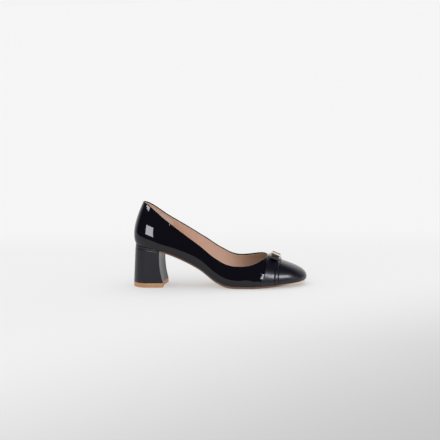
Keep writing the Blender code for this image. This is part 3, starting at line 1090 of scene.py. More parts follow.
@dataclass(frozen=True)
class SoleLeather:
    """Natural leather with a waxed edge, whose colour is painted light and shade: a painted shadow along its
    top under the upper, painted shade making it dark brown under the arch and the ball, and painted light
    making it pale at the toe.

    The piece's own map holds X along the shoe, and the height from 0 at the underside to 1 at the upper face.
    """

    name: str = "sole_leather"
    # arch and ball: painted shade on the edge; toe: painted light on the edge; seam: a painted shadow under
    # the upper's overhang.
    arch: tuple[float, float, float] = (0.200, 0.085, 0.045)
    ball: tuple[float, float, float] = (0.185, 0.098, 0.058)
    toe: tuple[float, float, float] = (0.900, 0.760, 0.640)
    seam: tuple[float, float, float] = (0.045, 0.020, 0.016)
    under: tuple[float, float, float] = (0.480, 0.290, 0.170)
    arch_to_ball: tuple[float, float] = (0.050, 0.110)
    ball_to_toe: tuple[float, float] = (0.178, 0.218)
    edge_start: tuple[float, float] = (0.02, 0.08)
    top_shadow_start: tuple[float, float] = (0.62, 0.80)
    roughness: tuple[float, float] = (0.38, 0.52)

    def material(self) -> bpy.types.Material:
        """Mixes this finish.

        Returns:
            The material.
        """
        tree = Tree(self.name)
        along, height, _ = tree.parts(tree.add("ShaderNodeUVMap", uv_map=OWN_MAP).outputs[0])
        # Painted shade along the edge at the arch and the ball, then painted light towards the toe.
        edge = tree.mixed(tree.step(along, self.arch_to_ball), self.arch, self.ball)
        edge = tree.mixed(tree.step(along, self.ball_to_toe), edge, self.toe)
        # A painted shadow along the top of the edge, under the upper.
        edge = tree.mixed(tree.step(height, self.top_shadow_start), edge, self.seam)
        edge = tree.mixed(tree.spread(tree.fibres(), 0.0, 0.35), edge, tree.mixed(0.5, edge, self.seam))
        tone = tree.mixed(tree.step(height, self.edge_start), self.under, edge)
        gloss = tree.spread(tree.noise(200.0, 3.0), *self.roughness)
        tree.set(base_color=tone, roughness=gloss, normal=tree.open_pores())
        return tree.material


@dataclass(frozen=True)
class Lining:
    """Tan lining leather, soft and matt, with pores and a little unevenness, and painted shade darkening it
    inside the vamp.
    """

    name: str = "tan_lining"
    pale: tuple[float, float, float] = (0.740, 0.500, 0.385)
    deep: tuple[float, float, float] = (0.700, 0.460, 0.345)
    # vamp: painted shade, the lining's colour darkened towards the toe, where little light reaches inside the
    # shoe.
    vamp: tuple[float, float, float] = (0.360, 0.222, 0.152)
    vamp_shade_start: tuple[float, float] = (0.098, 0.146)
    nap: float = 0.000018
    roughness: tuple[float, float] = (0.50, 0.66)
    sheen: float = 0.15
    pore_scale: float = 1500.0

    def material(self) -> bpy.types.Material:
        """Mixes this finish.

        Returns:
            The material.
        """
        tree = Tree(self.name)
        quarter = tree.mixed(tree.noise(55.0, 4.0), self.deep, self.pale)
        # Painted shade: the colour turns darker towards the toe.
        color = tree.mixed(tree.step(tree.parts()[0], self.vamp_shade_start), quarter, self.vamp)
        dips = tree.relief(tree.noise(95.0), self.nap * 5)
        pores = tree.relief(tree.cells(self.pore_scale), self.nap, dips)
        hair = tree.relief(tree.noise(5200.0, 3.0), self.nap * 0.8, pores)
        gloss = tree.spread(tree.noise(300.0, 3.0), *self.roughness)
        tree.set(base_color=color, roughness=gloss, normal=hair)
        tree.set(sheen_weight=self.sheen, sheen_roughness=0.5)
        return tree.material


@dataclass(frozen=True)
class Grosgrain:
    """Black ribbed ribbon, with ribs across its width, read from the ribbon's own map in metres."""

    name: str = "black_grosgrain"
    dark: tuple[float, float, float] = (0.0060, 0.0060, 0.0075)
    light: tuple[float, float, float] = (0.0240, 0.0240, 0.0280)
    rib: float = 0.00085
    depth: float = 0.00012

    def material(self) -> bpy.types.Material:
        """Mixes this finish.

        Returns:
            The material.
        """
        tree = Tree(self.name)
        along, across, _ = tree.parts(tree.add("ShaderNodeUVMap", uv_map=OWN_MAP).outputs[0])
        wave = tree.math("SINE", tree.math("MULTIPLY", along, 2 * math.pi / self.rib))
        ribs = tree.spread(tree.math("MULTIPLY", tree.math("ADD", wave, 1.0), 0.5), 0.0, 1.0)
        thread = tree.math("SINE", tree.math("MULTIPLY", across, 2 * math.pi / (self.rib * 0.45)))
        color = tree.mixed(ribs, self.dark, self.light)
        bump = tree.relief(ribs, self.depth)
        weave = tree.relief(tree.math("MULTIPLY", thread, 0.5), self.depth * 0.2, bump)
        tree.set(base_color=color, roughness=tree.spread(tree.noise(900.0), 0.50, 0.68), normal=weave)
        tree.set(sheen_weight=0.2, sheen_roughness=0.4)
        return tree.material


@dataclass(frozen=True)
class Metal:
    """Pale gold, polished and faintly brushed along the shoe."""

    name: str = "pale_gold"
    light: tuple[float, float, float] = (0.520, 0.430, 0.320)
    deep: tuple[float, float, float] = (0.420, 0.320, 0.220)

    def material(self) -> bpy.types.Material:
        """Mixes this finish.

        Returns:
            The material.
        """
        tree = Tree(self.name)
        brushed = tree.noise(2600.0, place=tree.stretched((0.06, 1.0, 1.0)))
        color = tree.mixed(tree.noise(400.0), self.deep, self.light)
        tree.set(base_color=color, roughness=tree.spread(brushed, 0.16, 0.28), metallic=1.0)
        tree.set(normal=tree.relief(brushed, 0.000004))
        return tree.material


@dataclass(frozen=True)
class Thread:
    """Waxed sewing thread."""

    name: str = "tan_thread"
    color: tuple[float, float, float] = (0.42, 0.26, 0.18)

    def material(self) -> bpy.types.Material:
        """Mixes this finish.

        Returns:
            The material.
        """
        tree = Tree(self.name)
        darker = tuple(value * 0.6 for value in self.color)
        twist = tree.noise(4200.0, 1.0, tree.stretched((1.0, 0.3, 1.0)))
        color = tree.mixed(twist, darker, self.color)
        tree.set(base_color=color, roughness=0.5, normal=tree.relief(twist, 0.00003))
        return tree.material


@dataclass
class Shoe:
    """What every sub-assembly needs: the last, and a way to hand in a finished piece."""

    last: Last
    made: list[Piece] = field(default_factory=list)

    def hand_in(self, piece: Piece, finish: bpy.types.Material, slot: str, *nodes: str) -> Piece:
        """Dresses a piece and ties it to the frame.

        Args:
            piece: the finished mesh.
            finish: its material.
            slot: the record's material slot; not used.
            nodes: the plain solids that it stands for.

        Returns:
            The same piece.
        """
        piece.data.materials.clear()
        piece.data.materials.append(finish)
        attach(piece, "root")
        if nodes:
            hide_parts(*nodes)
        self.made.append(piece)
        log.info("%s: %d faces, for %s", piece.name, len(piece.data.polygons), ", ".join(nodes) or "detail")
        return piece


@dataclass
class Upper:
    """The patent leather upper with its rolled topline, its lining and its heel grip."""

    shoe: Shoe
    leather: float = 0.0011
    layer_gap: float = 0.00003
    lining_drop: float = 0.0016
    front_lining_drop: float = 0.0003
    front_share: float = 0.40
    front_spread: float = 0.09
    seam_depth: float = 0.00022
    seam_width: float = 0.0007
    seam_reach: float = 0.02
    crease_full: float = 0.35
    crease_fade: float = 0.03
    side_fade: float = 0.012
    around: int = 520
    levels: int = 46
    back_density: float = 0.55
    low_density: float = 0.9
    roll_steps: int = 8
    grip_front: float = 0.0270
    grip_thickness: float = 0.00035
    grip_edge: float = 0.00018
    grip_foot: float = 0.05
    grip_top: float = 0.915
    grip_corner: tuple[float, float] = (0.03, 0.05)
    grip_ribs: int = 150
    grip_stitch_foot: float = 0.08
    stitch_drop: float = 0.0032
    stitch_pitch: float = 0.0022
    stitch_length: float = 0.0015
    stitch_radius: float = 0.00020
    stitch_flatness: float = 0.8

    @property
    def last(self) -> Last:
        """The last that the upper is pulled over."""
        return self.shoe.last

    def shares(self) -> np.ndarray:
        """Places round the shoe, closer together at the back, where the heel turns tightly."""
        even = np.arange(self.around) / self.around
        return even - self.back_density * np.sin(2 * math.pi * even) / (2 * math.pi)

    def creased(self, points: np.ndarray, normals: np.ndarray) -> np.ndarray:
        """Points of the outer face with the soft troughs and ridges of the leather, and the back seam.

        Args:
            points: places on the smooth face.
            normals: its outward directions there.

        Returns:
            The points, moved in or out.
        """
        depth = np.zeros(points.shape[:-1])
        for row in CREASE_ROWS:
            start, end = np.array([(row.x, row.z), (row.to_x, row.to_z)]) / MM_PER_METRE
            along = end - start
            flat = points[..., [0, 2]] - start
            share = flat @ along / (along @ along)
            off = np.linalg.norm(flat - np.clip(share, 0, 1)[..., None] * along, axis=-1)
            fade = np.exp(-np.maximum(np.abs(share - 0.5) - self.crease_full, 0) ** 2 / self.crease_fade)
            side = np.clip(points[..., 1] * row.side / self.side_fade, 0, 1)
            trough = np.exp(-((off / (row.width / MM_PER_METRE)) ** 2))
            depth += side * fade * row.depth / MM_PER_METRE * trough
        at_back = points[..., 0] < self.last.seat_back + self.seam_reach
        depth += at_back * self.seam_depth * np.exp(-((points[..., 1] / self.seam_width) ** 2))
        return points - normals * depth[..., None]

    def wall_ring(self, share: np.ndarray, low: float, high: float, drop: np.ndarray | float) -> np.ndarray:
        """The closed loop of one layer of the wall at each share: up outside, over, and down inside.

        Args:
            share: places round the shoe.
            low: how far inside the outer face the layer's outer side lies.
            high: the same for its inner side.
            drop: how far its top lies below the topline.

        Returns:
            Points, as loop places by shares by three.
        """
        radius = (high - low) / 2
        top = 1 - (drop + radius) / self.last.top_pace(share)
        rises = np.linspace(0.0, 1.0, self.levels + 1) ** self.low_density
        outer = [self.last.place(share, top * rise, -low) for rise in rises]
        if low == 0.0:
            normals = [self.last.normal(share, top * rise) for rise in rises]
            outer = [self.creased(ring, normal) for ring, normal in zip(outer, normals)]
        centre = self.last.place(share, top, -(low + radius))
        up = self.last.slope(share, top)
        up /= np.linalg.norm(up, axis=-1)[:, None]
        out = self.last.normal(share, top)
        turns = np.linspace(0.0, math.pi, self.roll_steps + 1)[1:-1]
        roll = [centre + radius * (out * math.cos(turn) + up * math.sin(turn)) for turn in turns]
        inner = [self.last.place(share, top * rise, -high) for rise in rises[::-2]]
        return np.array(outer + roll + inner)

    def grip_places(self) -> tuple[np.ndarray, np.ndarray]:
        """Where the heel grip lies.

        Returns:
            The shares from the inner side round the back, and the top at each.
        """
        foot = self.last.ribs[:, 0]
        inner = np.flatnonzero((foot[:, 0] < self.grip_front) & (foot[:, 1] > 0))[0]
        outer = np.flatnonzero((foot[:, 0] < self.grip_front) & (foot[:, 1] < 0))[-1]
        first, last = inner / self.last.rib_count - 1, outer / self.last.rib_count
        share = np.linspace(first, last, self.grip_ribs)
        edge = np.minimum(share - first, last - share) / (last - first)
        reach, drop = self.grip_corner
        return share, self.grip_top - drop * np.exp(-((edge / reach) ** 2))

    def grip(self) -> Piece:
        """A thin suede piece that lines the back of the heel.

        Returns:
            The piece.
        """
        share, top = self.grip_places()
        loop = rounded_profile(1.0, 0.0, self.grip_thickness, self.grip_edge, 26)
        out = -self.last.wall - loop[:, 1]
        rise = self.grip_foot + np.outer(top - self.grip_foot, loop[:, 0])
        rings = self.last.place(share[:, None], rise, out[None, :])
        return ring_stack("heel_grip", rings, Ends.CAPPED)

    def stitch(self) -> Piece:
        """One stitch, lying along X at the origin.

        Returns:
            The piece.
        """
        deselect()
        bpy.ops.mesh.primitive_uv_sphere_add(segments=8, ring_count=6, radius=self.stitch_radius)
        bpy.ops.object.mode_set(mode="EDIT")
        bpy.ops.mesh.select_all(action="SELECT")
        stretch = self.stitch_length / 2 / self.stitch_radius
        bpy.ops.transform.resize(value=(stretch, 1.0, self.stitch_flatness))
        bpy.ops.object.mode_set(mode="OBJECT")
        return bpy.context.active_object

    def stitches(self, name: str, share: np.ndarray, rise: np.ndarray, out: float) -> Piece:
        """A row of stitches along a line of the upper.

        Args:
            name: the piece's name.
            share: places of the line round the shoe.
            rise: its places up the wall.
            out: how far outside the outer face the thread lies.

        Returns:
            The joined stitches.
        """
        points = self.last.place(share, rise, out)
        normals = self.last.normal(share, rise) * (1 if out > 0 else -1)
        run = run_along(points)
        count = int(run[-1] / self.stitch_pitch)
        places = []
        for at in (np.arange(count) + 0.5) * run[-1] / count:
            middle = Vector([np.interp(at, run, points[:, k]) for k in range(3)])
            after = Vector([np.interp(at + self.stitch_length / 3, run, points[:, k]) for k in range(3)])
            upward = Vector([np.interp(at, run, normals[:, k]) for k in range(3)]).normalized()
            along = (after - middle).normalized()
            side = upward.cross(along).normalized()
            turn = Matrix((along, side, along.cross(side))).transposed()
            places.append(Matrix.Translation(middle) @ turn.to_4x4())
        return scattered(name, self.stitch(), places)

    def build(self) -> None:
        """Makes and hands in the upper, its lining, its grip and its stitches."""
        share = self.shares()
        shell = ring_stack("upper_patent", self.wall_ring(share, 0.0, self.leather, 0.0), Ends.JOINED)
        smooth(shell, 60)
        self.shoe.hand_in(shell, Patent().material(), "patent_leather", "upper")
        front = np.exp(-(((share - self.front_share) / self.front_spread) ** 2))
        drop = self.lining_drop + (self.front_lining_drop - self.lining_drop) * front
        inside = self.wall_ring(share, self.leather + self.layer_gap, self.last.wall, drop)
        lining = ring_stack("upper_lining", inside, Ends.JOINED)
        smooth(lining, 60)
        self.shoe.hand_in(lining, Lining().material(), "lining_leather")
        grip = self.grip()
        smooth(grip)
        pale, deep = (0.820, 0.680, 0.600), (0.720, 0.580, 0.510)
        suede = Lining("grip_suede", pale, deep, nap=0.00003, roughness=(0.75, 0.9), sheen=0.3)
        self.shoe.hand_in(grip, suede.material(), "lining_leather")
        thread = Thread().material()
        round_shoe = np.linspace(0.0, 1.0, 900)
        rise = 1 - self.stitch_drop / self.last.top_pace(round_shoe)
        topline_row = self.stitches("lining_stitches", round_shoe, rise, -self.last.wall)
        self.shoe.hand_in(topline_row, thread, "lining_leather")
        places, top = self.grip_places()
        for name, end in (("grip_stitches_inner", 3), ("grip_stitches_outer", -4)):
            rise = np.linspace(self.grip_stitch_foot, top[end], 60)
            row = self.stitches(name, np.full(60, places[end]), rise, -self.last.wall - self.grip_thickness)
            self.shoe.hand_in(row, thread, "lining_leather")


@dataclass
class ToeOverlays:
    """The band over the vamp, the raised piping along its front, and the toe cap."""

    shoe: Shoe
    band_back_top: float = 0.0007
    band_back_foot: float = -0.0078
    band_back_bulge: float = 0.0022
    band_front: float = 0.0126
    piping_width: float = 0.0047
    band_thickness: float = 0.0014
    piping_thickness: float = 0.0019
    cap_thickness: float = 0.0009
    band_edge: float = 0.0006
    piping_edge: float = 0.75
    seated: float = 0.00008
    sections: int = 220
    cap_ribs: int = 240
    cap_levels: int = 44

    @property
    def last(self) -> Last:
        """The last under the overlays."""
        return self.shoe.last

    def upright(self, ahead: float) -> Plane:
        """An upright plane across the shoe, at a distance in front of the throat."""
        return Plane(np.array([self.last.throat + ahead, 0.0, 0.0]), np.array([1.0, 0.0, 0.0]))

    def band_back(self) -> Plane:
        """The plane of the band's back edge.

        Returns:
            The plane, leaning back from the throat to the floor.
        """
        top = self.last.above(self.last.throat + self.band_back_top, 0.0)
        foot = Vector((self.last.throat + self.band_back_foot, 0.0, 0.0))
        rise = top - foot
        front = np.array(Vector((rise.z, 0.0, -rise.x)).normalized())
        return Plane(np.array(foot), front, self.band_back_bulge, top.z)

    def strip(self, name: str, back: Plane, front: Plane, profile: np.ndarray) -> Piece:
        """A strip of leather over the foot between two planes.

        Args:
            name: the piece's name.
            back: the plane of its back edge.
            front: the plane of its front edge.
            profile: its closed cross-section, as rows of (share from back to front, height).

        Returns:
            The piece.
        """
        columns = []
        for share, height in profile:
            point = back.point * (1 - share) + front.point * share
            facing = back.front * (1 - share) + front.front * share
            bulge = back.bulge * (1 - share) + front.bulge * share
            plane = Plane(point, facing / np.linalg.norm(facing), bulge, back.rise)
            section = self.last.section(plane, self.sections)
            columns.append(self.last.place(*section, height))
        return ring_stack(name, np.stack(columns, axis=1), Ends.CAPPED)

    def flat_profile(self, width: float, thickness: float, radius: float) -> np.ndarray:
        """The cross-section of a flat strip with round edges, in shares of its width."""
        return rounded_profile(width, self.seated, thickness, radius, 12) / (width, 1.0)

    def crowned_profile(self, width: float, edge: float, crown: float) -> np.ndarray:
        """The cross-section of a raised strip, fuller in the middle.

        Args:
            width: the strip's width.
            edge: its thickness at the edges.
            crown: and in the middle.

        Returns:
            Rows of (share of the width, height).
        """
        profile = rounded_profile(width, self.seated, edge, edge * 0.45, 14) / (width, 1.0)
        over = profile[:, 1] > self.seated
        lift = (crown - edge) * np.sqrt(np.maximum(1 - (2 * profile[:, 0] - 1) ** 2, 0))
        profile[over, 1] += lift[over]
        return profile

    def cap(self) -> Piece:
        """The toe cap, from its upright back edge down to the feather line all round.

        Returns:
            The piece.
        """
        back = self.upright(self.band_front + self.piping_width + 2 * self.last.clearance)
        outer, inner = self.last.span(back)
        share = np.linspace(outer, inner, self.cap_ribs + 2)[1:-1]
        top = self.last.cut(share, back)
        length = self.last.wall_length(share, top)
        rings = []
        for at, high, run in zip(share, top, length):
            radius = min(self.cap_thickness * 0.6, run * 0.25)
            over = self.cap_thickness + self.last.clearance
            profile = rounded_profile(run, self.seated, over, radius, self.cap_levels)
            across, height = profile[:, 0], np.maximum(profile[:, 1], self.seated)
            rings.append(self.last.place(np.full(len(profile), at), across / run * high, height))
        return ring_stack("toe_cap_leather", np.array(rings), Ends.CAPPED)

    def build(self) -> None:
        """Makes and hands in the three overlays."""
        calf = Calf().material()
        gap = self.last.clearance
        front, foot = self.upright(self.band_front), self.upright(self.band_front + gap)
        width = self.band_front - self.band_back_top
        flat = self.flat_profile(width, self.band_thickness + gap, self.band_edge)
        band = self.strip("vamp_band_leather", self.band_back(), front, flat)
        edge, crown = self.piping_thickness * self.piping_edge + gap, self.piping_thickness + gap
        ridge = self.crowned_profile(self.piping_width, edge, crown)
        toe_side = self.upright(self.band_front + gap + self.piping_width)
        piping = self.strip("band_piping_leather", foot, toe_side, ridge)
        for piece, slot, node in (
            (band, "band_leather", "vamp_band"),
            (piping, "band_leather", "band_piping"),
            (self.cap(), "cap_leather", "toe_cap"),
        ):
            smooth(piece, 50)
            self.shoe.hand_in(piece, calf, slot, node)


@dataclass
class Sole:
    """The leather outsole with its flap on the heel's breast, and the insole."""

    shoe: Shoe
    sole_inset: float = 0.0006
    sole_bevel: float = 0.0010
    top_edge: float = 0.0003
    stations: int = 150
    insole_inset: float = 0.0008
    insole_thickness: float = 0.0024
    flap_height: float = 0.0042
    flap_thickness: float = 0.0009

    @property
    def last(self) -> Last:
        """The last over the sole."""
        return self.shoe.last

    def plate(self, name: str, stations: np.ndarray, inset: float, faces: Faces, bevel: float) -> Piece:
        """A sole or insole: a rounded section at each station along the foot.

        Args:
            name: the piece's name.
            stations: their X.
            inset: how far its edge lies inside the feather line.
            faces: gives the heights of its lower and upper faces at X.
            bevel: the radius of its lower corners.

        Returns:
            The piece.
        """
        outer, inner = self.last.outline(inset)
        turn = np.linspace(0.0, math.pi / 2, 5)
        across = np.linspace(0.0, 1.0, 14)[1:-1]
        rings, marks = [], []
        for x in stations:
            right, left = np.interp(x, *outer.T), np.interp(x, *inner.T)
            low, high = (float(face) for face in faces(x))
            lower = min(bevel, 0.25 * (left - right), 0.45 * (high - low))
            upper = min(self.top_edge, lower)
            edge = [(upper * (1 - math.sin(a)), high - upper * (1 - math.cos(a))) for a in turn]
            edge += [(lower * (1 - math.cos(a)), low + lower * (1 - math.sin(a))) for a in turn]
            side = [(right + y, z) for y, z in edge]
            under = [(right + lower + (left - right - 2 * lower) * s, low) for s in across]
            other = [(left - y, z) for y, z in edge[::-1]]
            over = [(left - upper - (left - right - 2 * upper) * s, high) for s in across]
            loop = side + under + other + over
            rings.append([(x, y, z) for y, z in loop])
            marks.append([(x, (z - low) / (high - low)) for _, z in loop])
        return ring_stack(name, np.array(rings), Ends.CAPPED, np.array(marks))

    def outsole(self) -> Piece:
        """From the heel's breast to the toe, flat on the floor under the ball.

        Returns:
            The piece.
        """
        back = self.last.seat_back + self.last.seat_length + self.last.clearance
        tip = self.last.outline(self.sole_inset)[0][:, 0].max()
        stations = back + (tip - back) * np.sin(np.linspace(0.0, 0.995, self.stations) * math.pi / 2)

        def faces(x: float) -> tuple[float, float]:
            """Heights of the two faces."""
            return float(self.last.sole_bottom(x)), float(self.last.sole_line(x))

        return self.plate("outsole_leather", stations, self.sole_inset, faces, self.sole_bevel)

    def insole(self) -> Piece:
        """The sock over seat and foot, beside the wall all round.

        Returns:
            The piece.
        """
        inset = self.last.wall + self.insole_inset
        outer = self.last.outline(inset)[0]
        back, tip = outer[:, 0].min(), outer[:, 0].max()
        stations = back + (tip - back) * (1 - np.cos(np.linspace(0.008, 0.992, self.stations) * math.pi)) / 2

        def faces(x: float) -> tuple[float, float]:
            """Heights of the two faces."""
            low = float(self.last.sole_line(x)) + self.last.clearance
            return low, low + self.insole_thickness

        return self.plate("insole_sock", stations, inset, faces, self.insole_thickness / 4)

    def build(self, heel: "Heel") -> None:
        """Makes and hands in the outsole, its flap and the insole.

        Args:
            heel: the heel that the flap lies on.
        """
        outsole = self.outsole()
        smooth(outsole)
        self.shoe.hand_in(outsole, SoleLeather().material(), "sole_leather", "outsole")
        flap = heel.breast_flap(self.flap_height, self.flap_thickness)
        smooth(flap)
        turned = NaturalLeather("flap_leather", (0.560, 0.370, 0.240), (0.420, 0.250, 0.150))
        self.shoe.hand_in(flap, turned.material(), "sole_leather")
        insole = self.insole()
        smooth(insole)
        # The sock keeps the lining's painted shade, darker towards the toe.
        sock = Lining("sock_leather", (0.800, 0.540, 0.410), (0.700, 0.450, 0.330))
        self.shoe.hand_in(insole, sock.material(), "lining_leather", "insole")


@dataclass
class Heel:
    """The leather covered block and the tan top piece that it stands on."""

    shoe: Shoe
    foot_width: float = 0.0450
    corner: float = 0.0024
    breast_hollow: float = 0.0022
    breast_waist: float = 0.0024
    lip: float = 0.0008
    lift_thickness: float = 0.0062
    lift_bevel: float = 0.0006
    lift_rim: float = 0.0002
    seam_height: float = 0.0032
    groove_depth: float = 0.00016
    groove_half: float = 0.00018
    soft_edge: float = 0.0004
    shoulder: float = 0.0012
    shoulder_drop: float = 0.0046
    trough: float = 0.00035
    side_points: int = 110
    breast_points: int = 26
    levels: int = 26

    @property
    def last(self) -> Last:
        """The last over the heel."""
        return self.shoe.last

    def foot_outline(self, inset: float = 0.0) -> np.ndarray:
        """The heel's flat foot in plan.

        Args:
            inset: how far it is moved in.

        Returns:
            Points from the outer front corner round the back to the inner one.
        """
        half = self.foot_width / 2 - inset
        back = self.last.seat_back + self.last.heel_setback + inset
        front = self.last.seat_back + self.last.seat_length + self.last.breast_lean - inset
        straight = max(front - back - half, 0.0)
        total = 2 * straight + math.pi * half
        points = []
        for run in np.linspace(0.0, total, self.side_points + 1):
            if run < straight:
                points.append((front - run, -half))
            elif run > total - straight:
                points.append((front - (total - run), half))
            else:
                turn = (run - straight) / half
                points.append((back + half - half * math.sin(turn), -half * math.cos(turn)))
        return np.array(points)

    def seat_outline(self, inset: float = 0.0) -> np.ndarray:
        """The heel's top in plan, which follows the feather line.

        Args:
            inset: how far it is moved in.

        Returns:
            Points in the same order as the foot's.
        """
        outer, inner = self.last.outline(inset - self.lip)
        front = self.last.seat_back + self.last.seat_length
        first, last = ((front, np.interp(front, *half.T)) for half in (outer, inner))
        points = np.vstack([first, outer[outer[:, 0] < front][::-1], inner[inner[:, 0] < front][1:], last])
        run = run_along(points)
        at = np.linspace(0.0, run[-1], self.side_points + 1)
        return np.stack([np.interp(at, run, points[:, 0]), np.interp(at, run, points[:, 1])], axis=1)

    def breast_line(self, outer: np.ndarray, inner: np.ndarray, hollow: float) -> np.ndarray:
        """Points between the breast's two corners, from the inner to the outer, without the corners."""
        share = np.arange(1, self.breast_points)[:, None] / self.breast_points
        return inner + (outer - inner) * share - 4 * share * (1 - share) * np.array([hollow, 0.0])

    def ring(self, share: float, inset: float = 0.0) -> np.ndarray:
        """The block's outline at a share of its height.

        Args:
            share: how high, from its foot to its seat.
            inset: how far it is moved in.

        Returns:
            Closed points with their heights.
        """
        low, high = self.foot_outline(inset), self.seat_outline(inset)
        side = low + (high - low) * share
        front, back = side[0, 0], side[:, 0].min()
        draw = self.breast_waist * 4 * share * (1 - share)
        side[:, 0] -= draw * np.clip((side[:, 0] - back) / (front - back), 0, 1) ** 2
        breast = self.breast_line(side[0], side[-1], self.breast_hollow * (1 - share**4))
        plan = np.vstack([side, breast])
        bottom = self.lift_thickness + self.last.clearance
        return np.column_stack([plan, bottom + (self.last.sole_line(plan[:, 0]) - bottom) * share])

    def rounded_corners(self, piece: Piece, rings: np.ndarray) -> None:
        """Rounds the two upright edges beside the breast.

        Args:
            piece: a block through the rings.
            rings: its outlines, whose first place and side_points are the breast's corners.
        """
        mesh = piece.data
        corners = {tuple(np.round(ring[k], 6)) for ring in rings for k in (0, self.side_points)}
        marked = {v.index for v in mesh.vertices if tuple(np.round(np.array(v.co, float), 6)) in corners}
        weight = mesh.attributes.new("bevel_weight_edge", "FLOAT", "EDGE")
        for edge in mesh.edges:
            a, b = edge.vertices
            _, aside, upward = mesh.vertices[a].co - mesh.vertices[b].co
            upright = a in marked and b in marked and abs(upward) > abs(aside)
            weight.data[edge.index].value = 1.0 if upright else 0.0
        rounding = piece.modifiers.new("corners", "BEVEL")
        rounding.limit_method = "WEIGHT"
        rounding.width = self.corner
        rounding.segments = 6
        apply_modifiers(piece)

    def stacked(self, name: str, rings: Sequence[np.ndarray]) -> Piece:
        """A closed block through outlines, with its corners rounded.

        Args:
            name: the piece's name.
            rings: its outlines.

        Returns:
            The piece.
        """
        outlines = np.array(rings, np.float32).astype(float)
        piece = ring_stack(name, outlines, Ends.CAPPED)
        self.rounded_corners(piece, outlines)
        return piece

    def block(self) -> Piece:
        """The covered block, with a soft shoulder under the upper and a shallow trough below that.

        Returns:
            The piece.
        """
        bottom = self.lift_thickness + self.last.clearance
        full = float(self.last.sole_line(self.last.seat_back)) - bottom
        rows = [(0.0, self.soft_edge), (self.soft_edge * 0.3, self.soft_edge * 0.3)]
        rows += [(down, 0.0) for down in np.linspace(self.soft_edge, full - self.shoulder_drop, self.levels)]
        start, end = full - self.shoulder_drop, full - self.shoulder
        for s in (0.25, 0.5, 0.75, 1.0):
            rows.append((start + (end - start) * s, self.trough * math.sin(math.pi * s) ** 2))
        for turn in np.linspace(0.0, math.pi / 2, 6)[1:]:
            inset = self.shoulder * (1 - math.cos(turn)) * 0.8
            rows.append((full - self.shoulder * (1 - math.sin(turn)), inset))
        return self.stacked("heel_block", [self.ring(z / full, inset) for z, inset in rows])

    def lift(self) -> Piece:
        """The top piece: a tread with a thin leather layer over it, and a fine groove between them.

        Returns:
            The piece.
        """
        bevel, seam, rim = self.lift_bevel, self.seam_height, self.lift_rim
        rows = [(0.0, bevel), (bevel * 0.3, bevel * 0.3), (bevel, 0.0)]
        rows += [(seam - self.groove_half, 0.0), (seam, self.groove_depth), (seam + self.groove_half, 0.0)]
        rows += [(self.lift_thickness - rim, 0.0), (self.lift_thickness, rim)]
        rings = []
        for z, inset in rows:
            side = self.foot_outline(inset)
            plan = np.vstack([side, self.breast_line(side[0], side[-1], self.breast_hollow)])
            rings.append(np.column_stack([plan, np.full(len(plan), z)]))
        return self.stacked("top_piece", rings)

    def breast_flap(self, height: float, thickness: float) -> Piece:
        """The end of the outsole's leather, turned down over the top of the breast.

        Args:
            height: how far it reaches down.
            thickness: of the leather there.

        Returns:
            The piece.
        """
        drop = rounded_profile(height, -0.0001, thickness, thickness * 0.6, 10)
        full = float(self.last.sole_line(self.last.seat_back + self.last.seat_length)) - self.lift_thickness
        rings = []
        for down, out in drop:
            ring = self.ring(1 - (down + self.last.shank_thickness * 0.1) / full)
            rings.append(ring[self.side_points + 1 :] + (out, 0.0, 0.0))
        return ring_stack("breast_flap", np.stack(rings, axis=1), Ends.CAPPED)

    def build(self) -> None:
        """Makes and hands in the block and its top piece."""
        deep, blue = (0.0050, 0.0045, 0.0085), (0.0095, 0.0088, 0.0165)
        cover = Calf("heel_calf", deep, blue, (0.33, 0.42), specular=0.28, coat=0.16, grain=0.000014)
        block = self.block()
        smooth(block)
        self.shoe.hand_in(block, cover.material(), "heel_leather", "heel")
        lift = self.lift()
        smooth(lift)
        self.shoe.hand_in(lift, NaturalLeather("lift_leather").material(), "lift_leather", "top_lift")


